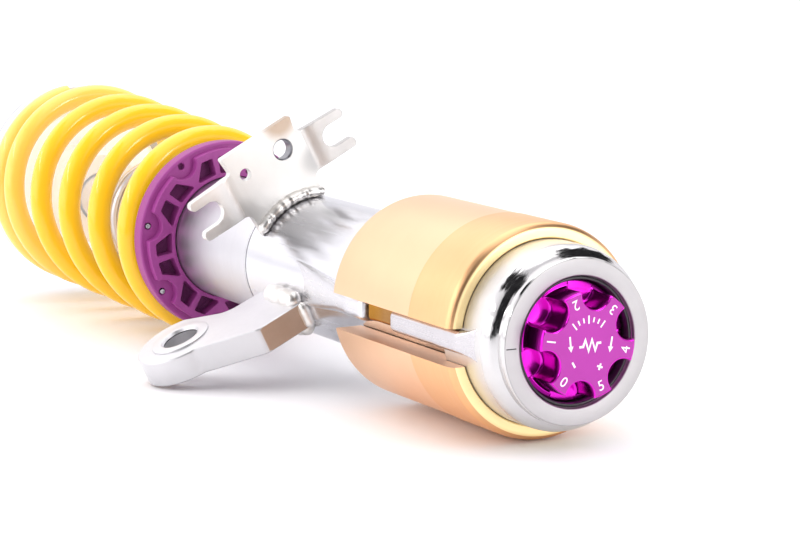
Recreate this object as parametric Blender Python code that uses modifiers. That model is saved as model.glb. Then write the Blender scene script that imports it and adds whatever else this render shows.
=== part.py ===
"""Height-adjustable coilover strut with bump and rebound adjusters, lying on its side.

Every part is modelled in the strut's own frame, where +Z runs along the damper from its
lower end face (z = 0) to the top of the piston rod. The parent empty "coilover_frame"
then lays the assembly down: its +Z becomes world +X, its +Y stays +Y and its -X becomes +Z.
Angles called "clock" are measured around the damper from +Y towards world +Z.
"""
import math

import bmesh
import bpy
from mathutils import Matrix, Vector

MM = 0.001
GAP = 0.3 * MM
WELD_DISTANCE = 0.01 * MM

# ---- lower body -------------------------------------------------------------------------
CAP_FACE_R = 26.6 * MM
CAP_R = 30.0 * MM
CAP_SHOULDER = 9.5 * MM
CAP_TOP = 32.0 * MM
POCKET_R = 21.4 * MM
POCKET_DEPTH = 16.0 * MM
CAP_SPIGOT_R = 22.3 * MM
CAP_SPIGOT_TOP = 42.0 * MM
SPINDLE_R = 5.0 * MM
SPINDLE_BORE_R = 5.3 * MM

TUBE_R = 25.0 * MM
TUBE_UPPER_R = 24.0 * MM
TUBE_LIP = 189.7 * MM
TUBE_TOP = 322.0 * MM
TUBE_BORE_R = 22.6 * MM

# ---- clamp sleeve, rib and tab ----------------------------------------------------------
SLEEVE_START = 19.5 * MM
SLEEVE_STEP = 46.0 * MM
SLEEVE_END = 98.8 * MM
SLEEVE_R = 35.0 * MM
SLEEVE_FRONT_R = 35.3 * MM
SLEEVE_FACE_R = 32.8 * MM
SLEEVE_MOUTH_R = 30.35 * MM
SLEEVE_BORE_R = 25.35 * MM
SLOT_TOP = 3.9 * MM
SLOT_BOTTOM = -8.4 * MM
RIB_TOP = 3.4 * MM
RIB_BOTTOM = -4.0 * MM
RIB_OUTER = 33.0 * MM
RIB_INNER = 25.3 * MM
RIB_END = 82.5 * MM
NOTCH_START = 60.0 * MM
NOTCH_DEPTH_R = 28.0 * MM
TAB_START = 85.0 * MM
TAB_END = 150.0 * MM
TAB_OUTER = 30.5 * MM
TAB_BOTTOM = -4.7 * MM

# ---- hose bracket -----------------------------------------------------------------------
HOSE_CLOCK = math.radians(62.0)
HOSE_PLATE_START = 178.0 * MM
HOSE_THICKNESS = 3.0 * MM
HOSE_FOOT_R = 25.35 * MM
HOSE_FOOT_HALF = math.radians(34.0)
HOSE_TOP = 54.5 * MM
HOSE_HALF_WIDTH = 15.8 * MM
HOSE_WING_LOW = 30.5 * MM
HOSE_WING_HIGH = 47.4 * MM
HOSE_WING_TIP = 34.6 * MM
HOSE_SLOT_CENTRE = 39.1 * MM
HOSE_SLOT_HALF = 4.3 * MM
HOSE_SLOT_END = 27.6 * MM
HOSE_WING_BEND = math.radians(-3.0)
HOSE_HOLE = (44.8 * MM, 7.6 * MM, 4.0 * MM)
HOSE_PILOT = (44.6 * MM, -9.7 * MM, 2.2 * MM)
WELD_R = 2.1 * MM

# ---- link bracket (stabiliser arm) ------------------------------------------------------
LINK_CLOCK = math.radians(-26.0)
LINK_THICKNESS = 10.0 * MM
LINK_ROOT_R = 25.3 * MM
LINK_ROOT_START = 141.5 * MM
LINK_ROOT_END = 172.0 * MM
LINK_NECK_R = 45.0 * MM
LINK_EYE_Z = 175.0 * MM
LINK_EYE_OUT = 61.5 * MM
LINK_EYE_R = 17.0 * MM
LINK_HOLE_R = 6.5 * MM
LINK_BOSS_R = 11.0 * MM
LINK_BOSS_RISE = 0.6 * MM

# ---- bump adjuster ----------------------------------------------------------------------
KNOB_FACE = -6.2 * MM
KNOB_FLANGE_TOP = 9.0 * MM
KNOB_FLANGE_FACE = 4.0 * MM
KNOB_FLANGE_R = 19.3 * MM
KNOB_LOBE_R = 17.2 * MM
KNOB_LOBES = 6
KNOB_FLUTE_R = 5.3 * MM
KNOB_FLUTE_CENTRE = 16.6 * MM
KNOB_FIRST_LOBE = math.radians(10.0)
LINER_INNER_R = 19.7 * MM
LINER_OUTER_R = 21.1 * MM
LINER_START = 0.8 * MM
LINER_END = 12.0 * MM

# ---- damper internals -------------------------------------------------------------------
VALVE_FLANGE_R = 22.3 * MM
CYLINDER_R = 16.5 * MM
CYLINDER_BORE_R = 15.0 * MM
CYLINDER_START = 52.3 * MM
CYLINDER_END = 299.7 * MM
VALVE_START = 45.0 * MM
VALVE_STEP = 52.0 * MM
VALVE_TOP = 58.0 * MM
GUIDE_START = 292.0 * MM
GUIDE_STEP = 300.0 * MM
GUIDE_TOP = 311.0 * MM
BUSH_R = 12.8 * MM
BUSH_START = 302.0 * MM
SEAL_START = 311.3 * MM
SEAL_TOP = 317.0 * MM
GLAND_START = 317.3 * MM
GLAND_TOP = 325.5 * MM
ROD_R = 11.0 * MM
ROD_RUNNING_R = 11.3 * MM
ROD_CLEAR_R = 11.4 * MM
ROD_START = 192.0 * MM
ROD_PISTON_R = 6.0 * MM
ROD_SHOULDER_LOW = 208.0 * MM
PISTON_START = 196.0 * MM
PISTON_END = 207.7 * MM
PISTON_R = 14.2 * MM
PISTON_RING_R = 14.7 * MM
REBOUND_STOP_START = 252.0 * MM
REBOUND_STOP_END = 260.0 * MM

# ---- spring collar and seat -------------------------------------------------------------
COLLAR_HUB_FACE = 253.6 * MM
COLLAR_RING_FACE = 257.0 * MM
COLLAR_WEB = 260.4 * MM
COLLAR_BACK = 263.4 * MM
COLLAR_BORE_R = 24.3 * MM
COLLAR_RING_R = 37.7 * MM
COLLAR_HUB_R = 35.3 * MM
COLLAR_SCALLOPS = 8
COLLAR_SCALLOP_AT = 36.2 * MM
COLLAR_SCALLOP_R = 5.8 * MM
COLLAR_FIRST_SCALLOP = math.radians(10.3)
COLLAR_POCKET_IN = (26.8 * MM, math.radians(2.3), math.radians(19.3))
COLLAR_POCKET_OUT = (32.3 * MM, math.radians(10.2), math.radians(2.6))
COLLAR_SCREW_AT = 35.0 * MM
COLLAR_SCREW_R = 1.1 * MM
COLLAR_SCREWS = (("collar_screw_a", 0), ("collar_screw_b", 3), ("collar_screw_c", 4), ("collar_screw_d", 7))
SEAT_START = COLLAR_BACK + GAP
SEAT_FLANGE_END = SEAT_START + 0.8 * MM
SEAT_SPIGOT_END = 270.0 * MM
SEAT_SPIGOT_R = 31.4 * MM
SEAT_R = 37.2 * MM

# ---- main spring ------------------------------------------------------------------------
WIRE_R = 4.9 * MM
SPRING_LOW = SEAT_FLANGE_END + GAP + WIRE_R
SPRING_PITCH = 30.6 * MM
SPRING_FIRST_COIL = 269.2 * MM
SPRING_HIGH = 407.2 * MM
SPRING_END_PITCH = 10.3 * MM
SPRING_START_TURN = -0.62
SPRING_END_TURN = 5.22
SPRING_LOW_R = 36.8 * MM
SPRING_HIGH_R = 39.9 * MM
SPRING_TILT = 0.0358
SPRING_POINTS_PER_TURN = 22
SPRING_BLEND = 1.5 * MM

# ---- upper seat, bearing and rod end ----------------------------------------------------
PAD_START = SPRING_HIGH + WIRE_R + GAP
PAD_END = PAD_START + 2.4 * MM
PAD_R = 41.5 * MM
PLATE_START = PAD_END + GAP
PLATE_END = PLATE_START + 3.0 * MM
PLATE_R = 45.6 * MM
PLATE_BORE_R = 11.6 * MM
PLATE_SPIGOT_R = 33.6 * MM
PLATE_SPIGOT_START = 404.0 * MM
LOWER_RACE_END = PLATE_END + GAP + 2.2 * MM
CAGE_END = LOWER_RACE_END + GAP + 4.0 * MM
UPPER_RACE_END = CAGE_END + GAP + 3.0 * MM
RACE_R = 25.0 * MM
RACE_LAND = 15.5 * MM
CAGE_INNER_R = 14.5 * MM
CAGE_OUTER_R = 22.0 * MM
ROD_SHOULDER_HIGH = CAGE_END
ROD_END_R = 7.0 * MM
ROD_END_BORE_R = 7.3 * MM
WASHER_R = 14.0 * MM
WASHER_END = UPPER_RACE_END + GAP + 2.0 * MM
NUT_END = WASHER_END + GAP + 8.0 * MM
NUT_R = 12.4 * MM
ROD_TOP = NUT_END + 9.0 * MM
DIAL_END = ROD_TOP + 7.0 * MM
DIAL_R = 6.8 * MM
BUMP_STOP_START = 387.0 * MM
BUMP_STOP_R = 21.5 * MM

FINE = 40
MEDIUM = 24
COARSE = 20


def clear_scene():
    for item in list(bpy.data.objects):
        bpy.data.objects.remove(item, do_unlink=True)


def collection(name):
    made = bpy.data.collections.new(name)
    bpy.context.scene.collection.children.link(made)
    return made


clear_scene()
PARTS = collection("coilover")
CUTTERS = collection("cutters")
FRAME = bpy.data.objects.new("coilover_frame", None)
PARTS.objects.link(FRAME)
MATERIALS = {}


def material(name, colour, roughness, metallic):
    if name not in MATERIALS:
        made = bpy.data.materials.new(name)
        made.use_nodes = True
        shader = made.node_tree.nodes["Principled BSDF"]
        shader.inputs["Base Color"].default_value = (*colour, 1.0)
        shader.inputs["Roughness"].default_value = roughness
        shader.inputs["Metallic"].default_value = metallic
        MATERIALS[name] = made
    return MATERIALS[name]


STEEL = material("stainless_steel", (0.80, 0.80, 0.82), 0.22, 1.0)
ZINC = material("zinc_plated_steel", (0.78, 0.77, 0.75), 0.30, 1.0)
GOLD = material("gold_anodised_aluminium", (0.86, 0.56, 0.22), 0.38, 1.0)
PURPLE = material("purple_anodised_aluminium", (0.50, 0.04, 0.50), 0.25, 1.0)
COMPOSITE = material("purple_composite", (0.26, 0.03, 0.22), 0.55, 0.0)
YELLOW = material("yellow_powder_coat", (1.0, 0.62, 0.01), 0.30, 0.0)
RUBBER = material("black_rubber", (0.02, 0.02, 0.02), 0.70, 0.0)
CHROME = material("hard_chrome", (0.85, 0.85, 0.87), 0.08, 1.0)
BRONZE = material("bronze", (0.55, 0.36, 0.16), 0.35, 1.0)
FOAM = material("microcellular_foam", (0.80, 0.72, 0.50), 0.85, 0.0)


def finish_part(item, surface):
    """Link a part into the strut's frame with its material."""
    item.data.materials.clear()
    item.data.materials.append(surface)
    item.parent = FRAME
    return item


def turned(name, profile, segments, surface, closed=True, home=PARTS):
    """Turn a (radius, z) profile around Z. It runs top to bottom on its outer side."""
    mesh = bpy.data.meshes.new(name)
    points = [(radius, 0.0, z) for radius, z in profile]
    edges = [(i, i + 1) for i in range(len(points) - 1)]
    if closed:
        edges.append((len(points) - 1, 0))
    mesh.from_pydata(points, edges, [])
    item = bpy.data.objects.new(name, mesh)
    home.objects.link(item)
    screw = item.modifiers.new("turn", 'SCREW')
    screw.axis = 'Z'
    screw.steps = segments
    screw.render_steps = segments
    screw.use_merge_vertices = True
    screw.merge_threshold = WELD_DISTANCE
    screw.use_smooth_shade = True
    return finish_part(item, surface)


def ring(name, inner, outer, start, end, segments, surface):
    """A plain turned ring, or a disc when inner is zero."""
    profile = [(outer, end), (outer, start), (inner, start), (inner, end)]
    return turned(name, profile, segments, surface)


def arc(centre, radius, first, last, steps):
    """Points on a circle arc, angles in degrees, both ends included."""
    points = []
    for i in range(steps + 1):
        angle = math.radians(first + (last - first) * i / steps)
        points.append((centre[0] + radius * math.cos(angle), centre[1] + radius * math.sin(angle)))
    return points


def circle(centre, radius, steps):
    return arc(centre, radius, 0.0, 360.0 * (steps - 1) / steps, steps - 1)


def mesh_object(name, mesh, home):
    item = bpy.data.objects.new(name, mesh)
    home.objects.link(item)
    return item


def extruded(name, outlines, low, high, home=PARTS, basis=None):
    """A flat outline with holes, extruded from z = low to high, then moved by basis."""
    curve = bpy.data.curves.new(name + "_outline", 'CURVE')
    curve.dimensions = '2D'
    curve.fill_mode = 'BOTH'
    curve.extrude = (high - low) / 2.0
    for outline in outlines:
        spline = curve.splines.new('POLY')
        spline.points.add(len(outline) - 1)
        for point, (x, y) in zip(spline.points, outline):
            point.co = (x, y, 0.0, 1.0)
        spline.use_cyclic_u = True
    source = bpy.data.objects.new(name + "_outline", curve)
    home.objects.link(source)
    shift = Matrix.Translation((0.0, 0.0, (low + high) / 2.0))
    mesh = solid_from_curve(name, source, (basis or Matrix.Identity(4)) @ shift)
    return mesh_object(name, mesh, home)


def solid_from_curve(name, source, placing):
    """Turn a curve object into a closed mesh and remove the curve."""
    bpy.context.view_layer.update()
    evaluated = source.evaluated_get(bpy.context.evaluated_depsgraph_get())
    mesh = bpy.data.meshes.new_from_object(evaluated)
    mesh.name = name
    bpy.data.objects.remove(source, do_unlink=True)
    work = bmesh.new()
    work.from_mesh(mesh)
    bmesh.ops.remove_doubles(work, verts=work.verts, dist=WELD_DISTANCE)
    bmesh.ops.recalc_face_normals(work, faces=work.faces)
    bmesh.ops.transform(work, matrix=placing, verts=work.verts)
    work.to_mesh(mesh)
    work.free()
    return mesh


def tube_along(name, points, radius, resolution, home=PARTS):
    """A round bar along a list of points, with filled ends, as a closed mesh."""
    curve = bpy.data.curves.new(name + "_path", 'CURVE')
    curve.dimensions = '3D'
    curve.bevel_depth = radius
    curve.bevel_resolution = resolution
    curve.use_fill_caps = True
    spline = curve.splines.new('POLY')
    spline.points.add(len(points) - 1)
    for point, place in zip(spline.points, points):
        point.co = (*place, 1.0)
    source = bpy.data.objects.new(name + "_path", curve)
    home.objects.link(source)
    return mesh_object(name, solid_from_curve(name, source, Matrix.Identity(4)), home)


def combine(target, tool, operation):
    """Join or cut with a tool that stays in the cutters' collection."""
    for home in list(tool.users_collection):
        home.objects.unlink(tool)
    CUTTERS.objects.link(tool)
    tool.parent = FRAME
    tool.display_type = 'WIRE'
    tool.hide_render = True
    step = target.modifiers.new(tool.name, 'BOOLEAN')
    step.operation = operation
    step.solver = 'EXACT'
    step.object = tool


def box(name, low, high, home=PARTS):
    """A rectangular block between two corners."""
    mesh = bpy.data.meshes.new(name)
    work = bmesh.new()
    bmesh.ops.create_cube(work, size=1.0)
    low, high = Vector(low), Vector(high)
    size = high - low
    placing = Matrix.Translation((low + high) / 2.0) @ Matrix.Diagonal((*size, 1.0))
    bmesh.ops.transform(work, matrix=placing, verts=work.verts)
    work.to_mesh(mesh)
    work.free()
    return mesh_object(name, mesh, home)


def clock_basis(clock):
    """Frame whose X points outwards at a clock angle and whose Z stays along the damper."""
    outward = Vector((-math.sin(clock), math.cos(clock), 0.0))
    along = Vector((0.0, 0.0, 1.0))
    across = along.cross(outward)
    return Matrix((outward, across, along)).transposed().to_4x4()


def radial_basis(clock):
    """Frame for a radial plate: X along the damper, Y outwards, Z across the plate."""
    outward = Vector((-math.sin(clock), math.cos(clock), 0.0))
    along = Vector((0.0, 0.0, 1.0))
    across = along.cross(outward)
    return Matrix((along, outward, across)).transposed().to_4x4()


# ---- strut body -------------------------------------------------------------------------
def build_end_cap():
    shoulder = arc((CAP_R - 6.0 * MM, CAP_SHOULDER), 6.0 * MM, 0.0, -64.0, 5)
    profile = [(CAP_SPIGOT_R, CAP_SPIGOT_TOP), (CAP_SPIGOT_R, CAP_TOP), (CAP_R, CAP_TOP)]
    profile += shoulder + [(CAP_FACE_R, 0.0), (POCKET_R, 0.0), (POCKET_R, POCKET_DEPTH)]
    profile += [(SPINDLE_BORE_R, POCKET_DEPTH), (SPINDLE_BORE_R, CAP_SPIGOT_TOP)]
    turned("end_cap", profile, FINE, STEEL)


def build_outer_tube():
    lip = TUBE_LIP
    profile = [(TUBE_UPPER_R, TUBE_TOP), (TUBE_UPPER_R, lip + 1.2 * MM)]
    profile += [(TUBE_R - 0.3 * MM, lip), (TUBE_R, lip - 0.5 * MM), (TUBE_R, CAP_TOP + GAP)]
    profile += [(TUBE_BORE_R, CAP_TOP + GAP), (TUBE_BORE_R, TUBE_TOP)]
    turned("outer_tube", profile, FINE, STEEL)


def build_clamp_sleeve():
    mouth_end = CAP_TOP + GAP
    profile = [(SLEEVE_R - 0.8 * MM, SLEEVE_END), (SLEEVE_R, SLEEVE_END - 0.8 * MM)]
    profile += [(SLEEVE_R, SLEEVE_STEP + 0.4 * MM), (SLEEVE_FRONT_R, SLEEVE_STEP)]
    profile += [(SLEEVE_FRONT_R, SLEEVE_START + 3.0 * MM)]
    profile += [(SLEEVE_FRONT_R - 0.8 * MM, SLEEVE_START + 1.0 * MM), (SLEEVE_FACE_R, SLEEVE_START)]
    profile += [(SLEEVE_MOUTH_R, SLEEVE_START), (SLEEVE_MOUTH_R, mouth_end)]
    profile += [(SLEEVE_BORE_R, mouth_end), (SLEEVE_BORE_R, SLEEVE_END)]
    sleeve = turned("clamp_sleeve", profile, FINE, GOLD)
    slot = box("sleeve_slot", (-SLOT_TOP, 15.0 * MM, 0.0), (-SLOT_BOTTOM, 45.0 * MM, 0.12))
    combine(sleeve, slot, 'DIFFERENCE')


def build_rib_and_tab():
    rib_start = CAP_TOP + GAP
    side = [(rib_start, RIB_INNER), (RIB_END, RIB_INNER), (RIB_END, NOTCH_DEPTH_R + 1.0 * MM)]
    side += [(RIB_END - 3.0 * MM, NOTCH_DEPTH_R), (NOTCH_START + 5.0 * MM, NOTCH_DEPTH_R)]
    side += arc((NOTCH_START - 1.5 * MM, RIB_OUTER - 1.5 * MM), 1.5 * MM, 20.0, 90.0, 3)
    side += [(SLEEVE_START + 1.0 * MM, RIB_OUTER), (SLEEVE_START + 1.0 * MM, CAP_R + GAP)]
    side += [(rib_start, CAP_R + GAP)]
    basis = radial_basis(0.0)
    rib = extruded("locating_rib", [side], RIB_BOTTOM, RIB_TOP, basis=basis)
    finish_part(rib, STEEL)
    side = [(TAB_START, RIB_INNER), (TAB_END, RIB_INNER), (TAB_END, RIB_INNER + 0.6 * MM)]
    side += [(SLEEVE_END + 8.0 * MM, TAB_OUTER - 1.5 * MM), (SLEEVE_END, TAB_OUTER)]
    side += arc((TAB_START + 3.0 * MM, TAB_OUTER - 3.0 * MM), 3.0 * MM, 90.0, 180.0, 4)
    tab = extruded("locating_tab", [side], TAB_BOTTOM, RIB_TOP, basis=basis)
    finish_part(tab, STEEL)


def bead(name, points):
    """A weld bead as a round bar."""
    return tube_along(name, points, WELD_R, 1)


def build_hose_bracket():
    basis = clock_basis(HOSE_CLOCK)
    half = HOSE_FOOT_HALF
    foot = arc((0.0, 0.0), HOSE_FOOT_R, -math.degrees(half), math.degrees(half), 10)
    side = HOSE_HALF_WIDTH - 1.4 * MM
    outline = foot + [(HOSE_WING_LOW, side), (HOSE_WING_HIGH, HOSE_HALF_WIDTH)]
    outline += [(HOSE_TOP, HOSE_HALF_WIDTH), (HOSE_TOP, -HOSE_HALF_WIDTH)]
    outline += [(HOSE_WING_HIGH, -HOSE_HALF_WIDTH), (HOSE_WING_LOW, -side)]
    holes = [circle(HOSE_HOLE[:2], HOSE_HOLE[2], 16), circle(HOSE_PILOT[:2], HOSE_PILOT[2], 12)]
    low, high = HOSE_PLATE_START, HOSE_PLATE_START + HOSE_THICKNESS
    plate = extruded("hose_bracket", [outline] + holes, low, high, basis=basis)
    for sign, name in ((1.0, "right"), (-1.0, "left")):
        wing = extruded("hose_wing_" + name, [wing_outline(sign)], 0.0, HOSE_THICKNESS)
        pivot = Matrix.Translation((0.0, sign * (HOSE_HALF_WIDTH - 2.0 * MM), low))
        bend = Matrix.Rotation(sign * HOSE_WING_BEND, 4, 'X')
        wing.data.transform(basis @ pivot @ bend)
        combine(plate, wing, 'UNION')
    arc_r = HOSE_FOOT_R + WELD_R
    clocks = [HOSE_CLOCK + half * (i / 7.0 * 2.0 - 1.0) for i in range(8)]
    level = low - 0.8 * MM
    points = [(-arc_r * math.sin(c), arc_r * math.cos(c), level) for c in clocks]
    combine(plate, bead("hose_bracket_weld", points), 'UNION')
    finish_part(plate, ZINC)


def wing_outline(sign):
    """A fork wing in the plane of the hose plate, from its bend line outwards."""
    reach = HOSE_WING_TIP - (HOSE_HALF_WIDTH - 2.0 * MM)
    slot_end = HOSE_SLOT_END - (HOSE_HALF_WIDTH - 2.0 * MM)
    tine = 1.9 * MM
    low, high = HOSE_WING_LOW, HOSE_WING_HIGH
    slot_low, slot_high = HOSE_SLOT_CENTRE - HOSE_SLOT_HALF, HOSE_SLOT_CENTRE + HOSE_SLOT_HALF
    points = [(low, 0.0), (slot_low - 2.0 * tine, reach - tine)]
    points += arc((slot_low - tine, reach - tine), tine, 180.0, 0.0, 4)[1:]
    points += arc((HOSE_SLOT_CENTRE, slot_end), HOSE_SLOT_HALF, 180.0, 360.0, 8)
    points += arc((slot_high + tine, reach - tine), tine, 180.0, 0.0, 4)
    points += [(high, 0.0)]
    return [(x, sign * y) for x, y in points]


def build_link_bracket():
    basis = radial_basis(LINK_CLOCK)
    eye = (LINK_EYE_Z, LINK_EYE_OUT)
    outline = [(LINK_ROOT_START, LINK_ROOT_R), (LINK_ROOT_END, LINK_ROOT_R)]
    outline += [(LINK_ROOT_END + 1.0 * MM, LINK_NECK_R - 3.0 * MM)]
    outline += arc(eye, LINK_EYE_R, -32.0, 172.0, 14)
    outline += [(LINK_ROOT_START, LINK_NECK_R)]
    half = LINK_THICKNESS / 2.0
    arm = extruded("link_bracket", [outline, circle(eye, LINK_HOLE_R, 20)], -half, half, basis=basis)
    boss_rings = [circle(eye, LINK_BOSS_R, 20), circle(eye, LINK_HOLE_R, 20)]
    boss = extruded("link_boss", boss_rings, -half - LINK_BOSS_RISE, half + LINK_BOSS_RISE, basis=basis)
    combine(arm, boss, 'UNION')
    for sign, name in ((1.0, "upper"), (-1.0, "lower")):
        level = sign * half
        out = math.sqrt((TUBE_R + GAP + WELD_R) ** 2 - level ** 2)
        ends = (LINK_ROOT_START + 3.0 * MM, LINK_ROOT_END - 3.0 * MM)
        points = [basis @ Vector((z, out, level)) for z in ends]
        combine(arm, bead("link_weld_" + name, points), 'UNION')
    finish_part(arm, ZINC)


# ---- bump adjuster ----------------------------------------------------------------------
def build_bump_adjuster():
    profile = [(0.0, KNOB_FLANGE_TOP), (KNOB_FLANGE_R, KNOB_FLANGE_TOP)]
    profile += [(KNOB_FLANGE_R, KNOB_FLANGE_FACE), (KNOB_LOBE_R, KNOB_FLANGE_FACE)]
    profile += [(KNOB_LOBE_R, KNOB_FACE + 0.8 * MM), (KNOB_LOBE_R - 0.8 * MM, KNOB_FACE)]
    profile += [(0.0, KNOB_FACE)]
    knob = turned("bump_knob", profile, FINE, PURPLE, closed=False)
    rings = []
    for index in range(KNOB_LOBES):
        clock = KNOB_FIRST_LOBE + (index + 0.5) * math.tau / KNOB_LOBES
        centre = (-KNOB_FLUTE_CENTRE * math.sin(clock), KNOB_FLUTE_CENTRE * math.cos(clock))
        rings.append(circle(centre, KNOB_FLUTE_R, 14))
    flutes = extruded("knob_flutes", rings, KNOB_FACE - 2.0 * MM, KNOB_FLANGE_FACE + 1.0 * MM)
    combine(knob, flutes, 'DIFFERENCE')
    ring_start = KNOB_FLANGE_TOP + GAP
    stem = [(SPINDLE_R, VALVE_START - GAP), (SPINDLE_R, ring_start + 3.0 * MM)]
    stem += [(9.0 * MM, ring_start + 3.0 * MM), (9.0 * MM, ring_start)]
    stem = [(0.0, VALVE_START - GAP)] + stem + [(0.0, ring_start)]
    turned("bump_spindle", stem, COARSE, BRONZE, closed=False)
    ring("bore_liner", LINER_INNER_R, LINER_OUTER_R, LINER_START, LINER_END, FINE, RUBBER)


# ---- damper internals -------------------------------------------------------------------
def build_internals():
    profile = [(0.0, VALVE_TOP), (CYLINDER_BORE_R - GAP, VALVE_TOP)]
    profile += [(CYLINDER_BORE_R - GAP, VALVE_STEP), (VALVE_FLANGE_R, VALVE_STEP)]
    profile += [(VALVE_FLANGE_R, VALVE_START), (0.0, VALVE_START)]
    turned("base_valve", profile, MEDIUM, BRONZE, closed=False)
    ring("inner_cylinder", CYLINDER_BORE_R, CYLINDER_R, CYLINDER_START, CYLINDER_END, MEDIUM, STEEL)

    bush_bore = BUSH_R + GAP
    profile = [(VALVE_FLANGE_R, GUIDE_TOP), (VALVE_FLANGE_R, GUIDE_STEP)]
    profile += [(CYLINDER_BORE_R - GAP, GUIDE_STEP), (CYLINDER_BORE_R - GAP, GUIDE_START)]
    profile += [(ROD_CLEAR_R, GUIDE_START), (ROD_CLEAR_R, BUSH_START)]
    profile += [(bush_bore, BUSH_START), (bush_bore, GUIDE_TOP)]
    turned("rod_guide", profile, MEDIUM, ZINC)
    ring("guide_bush", ROD_RUNNING_R, BUSH_R, BUSH_START + GAP, GUIDE_TOP - GAP, MEDIUM, BRONZE)
    ring("rod_seal", ROD_RUNNING_R, VALVE_FLANGE_R, SEAL_START, SEAL_TOP, MEDIUM, RUBBER)

    brim = TUBE_TOP + GAP
    profile = [(TUBE_UPPER_R - 1.0 * MM, GLAND_TOP), (TUBE_UPPER_R, GLAND_TOP - 1.0 * MM)]
    profile += [(TUBE_UPPER_R, brim), (VALVE_FLANGE_R, brim), (VALVE_FLANGE_R, GLAND_START)]
    profile += [(ROD_CLEAR_R, GLAND_START), (ROD_CLEAR_R, GLAND_TOP)]
    turned("gland_nut", profile, MEDIUM, STEEL)


def build_rod():
    profile = [(0.0, ROD_TOP), (ROD_END_R - 1.0 * MM, ROD_TOP), (ROD_END_R, ROD_TOP - 1.0 * MM)]
    profile += [(ROD_END_R, ROD_SHOULDER_HIGH), (ROD_R, ROD_SHOULDER_HIGH)]
    profile += [(ROD_R, ROD_SHOULDER_LOW), (ROD_PISTON_R, ROD_SHOULDER_LOW)]
    profile += [(ROD_PISTON_R, ROD_START), (0.0, ROD_START)]
    turned("piston_rod", profile, MEDIUM, CHROME, closed=False)

    inner = ROD_PISTON_R + GAP
    groove_low, groove_high = PISTON_START + 3.0 * MM, PISTON_END - 3.0 * MM
    groove_r = PISTON_R - 1.6 * MM
    profile = [(PISTON_R, PISTON_END), (PISTON_R, groove_high), (groove_r, groove_high)]
    profile += [(groove_r, groove_low), (PISTON_R, groove_low), (PISTON_R, PISTON_START)]
    profile += [(inner, PISTON_START), (inner, PISTON_END)]
    turned("piston", profile, MEDIUM, BRONZE)
    ring("piston_ring", groove_r + GAP, PISTON_RING_R, groove_low + GAP, groove_high - GAP, MEDIUM, RUBBER)
    hexagon("piston_nut", 10.0 * MM, inner, ROD_START - 3.0 * MM, PISTON_START - GAP, ZINC)
    ring("rebound_stop", ROD_R + GAP, 14.0 * MM, REBOUND_STOP_START, REBOUND_STOP_END, MEDIUM, RUBBER)

    top = PLATE_START - 1.0 * MM
    height = top - BUMP_STOP_START
    waves = 3
    outer = []
    for i in range(waves * 4 + 1):
        z = top - height * i / (waves * 4)
        outer.append((BUMP_STOP_R - 2.0 * MM * (1.0 - math.cos(i * math.pi / 2.0)) / 2.0
                      - 5.0 * MM * max(0.0, i / (waves * 4) - 0.5), z))
    profile = outer + [(ROD_R + GAP, BUMP_STOP_START), (ROD_R + GAP, top)]
    turned("bump_stop", profile, COARSE, FOAM)


def hexagon(name, radius, bore, start, end, surface):
    """A hexagon nut, radius across its corners."""
    nut = extruded(name, [circle((0.0, 0.0), radius, 6), circle((0.0, 0.0), bore, COARSE)], start, end)
    finish_part(nut, surface)


# ---- collar, seat and spring ------------------------------------------------------------
def collar_hub_radius(clock):
    """Outer radius of the collar's hub: a circle with a scallop cut in above each screw hole."""
    spacing = math.tau / COLLAR_SCALLOPS
    off = (clock - COLLAR_FIRST_SCALLOP + spacing / 2.0) % spacing - spacing / 2.0
    side = COLLAR_SCALLOP_AT * math.sin(off)
    if abs(side) >= COLLAR_SCALLOP_R:
        return COLLAR_HUB_R
    cut = COLLAR_SCALLOP_AT * math.cos(off) - math.sqrt(COLLAR_SCALLOP_R ** 2 - side ** 2)
    return min(COLLAR_HUB_R, cut)


def polar(radius, clock):
    return (-radius * math.sin(clock), radius * math.cos(clock))


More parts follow.
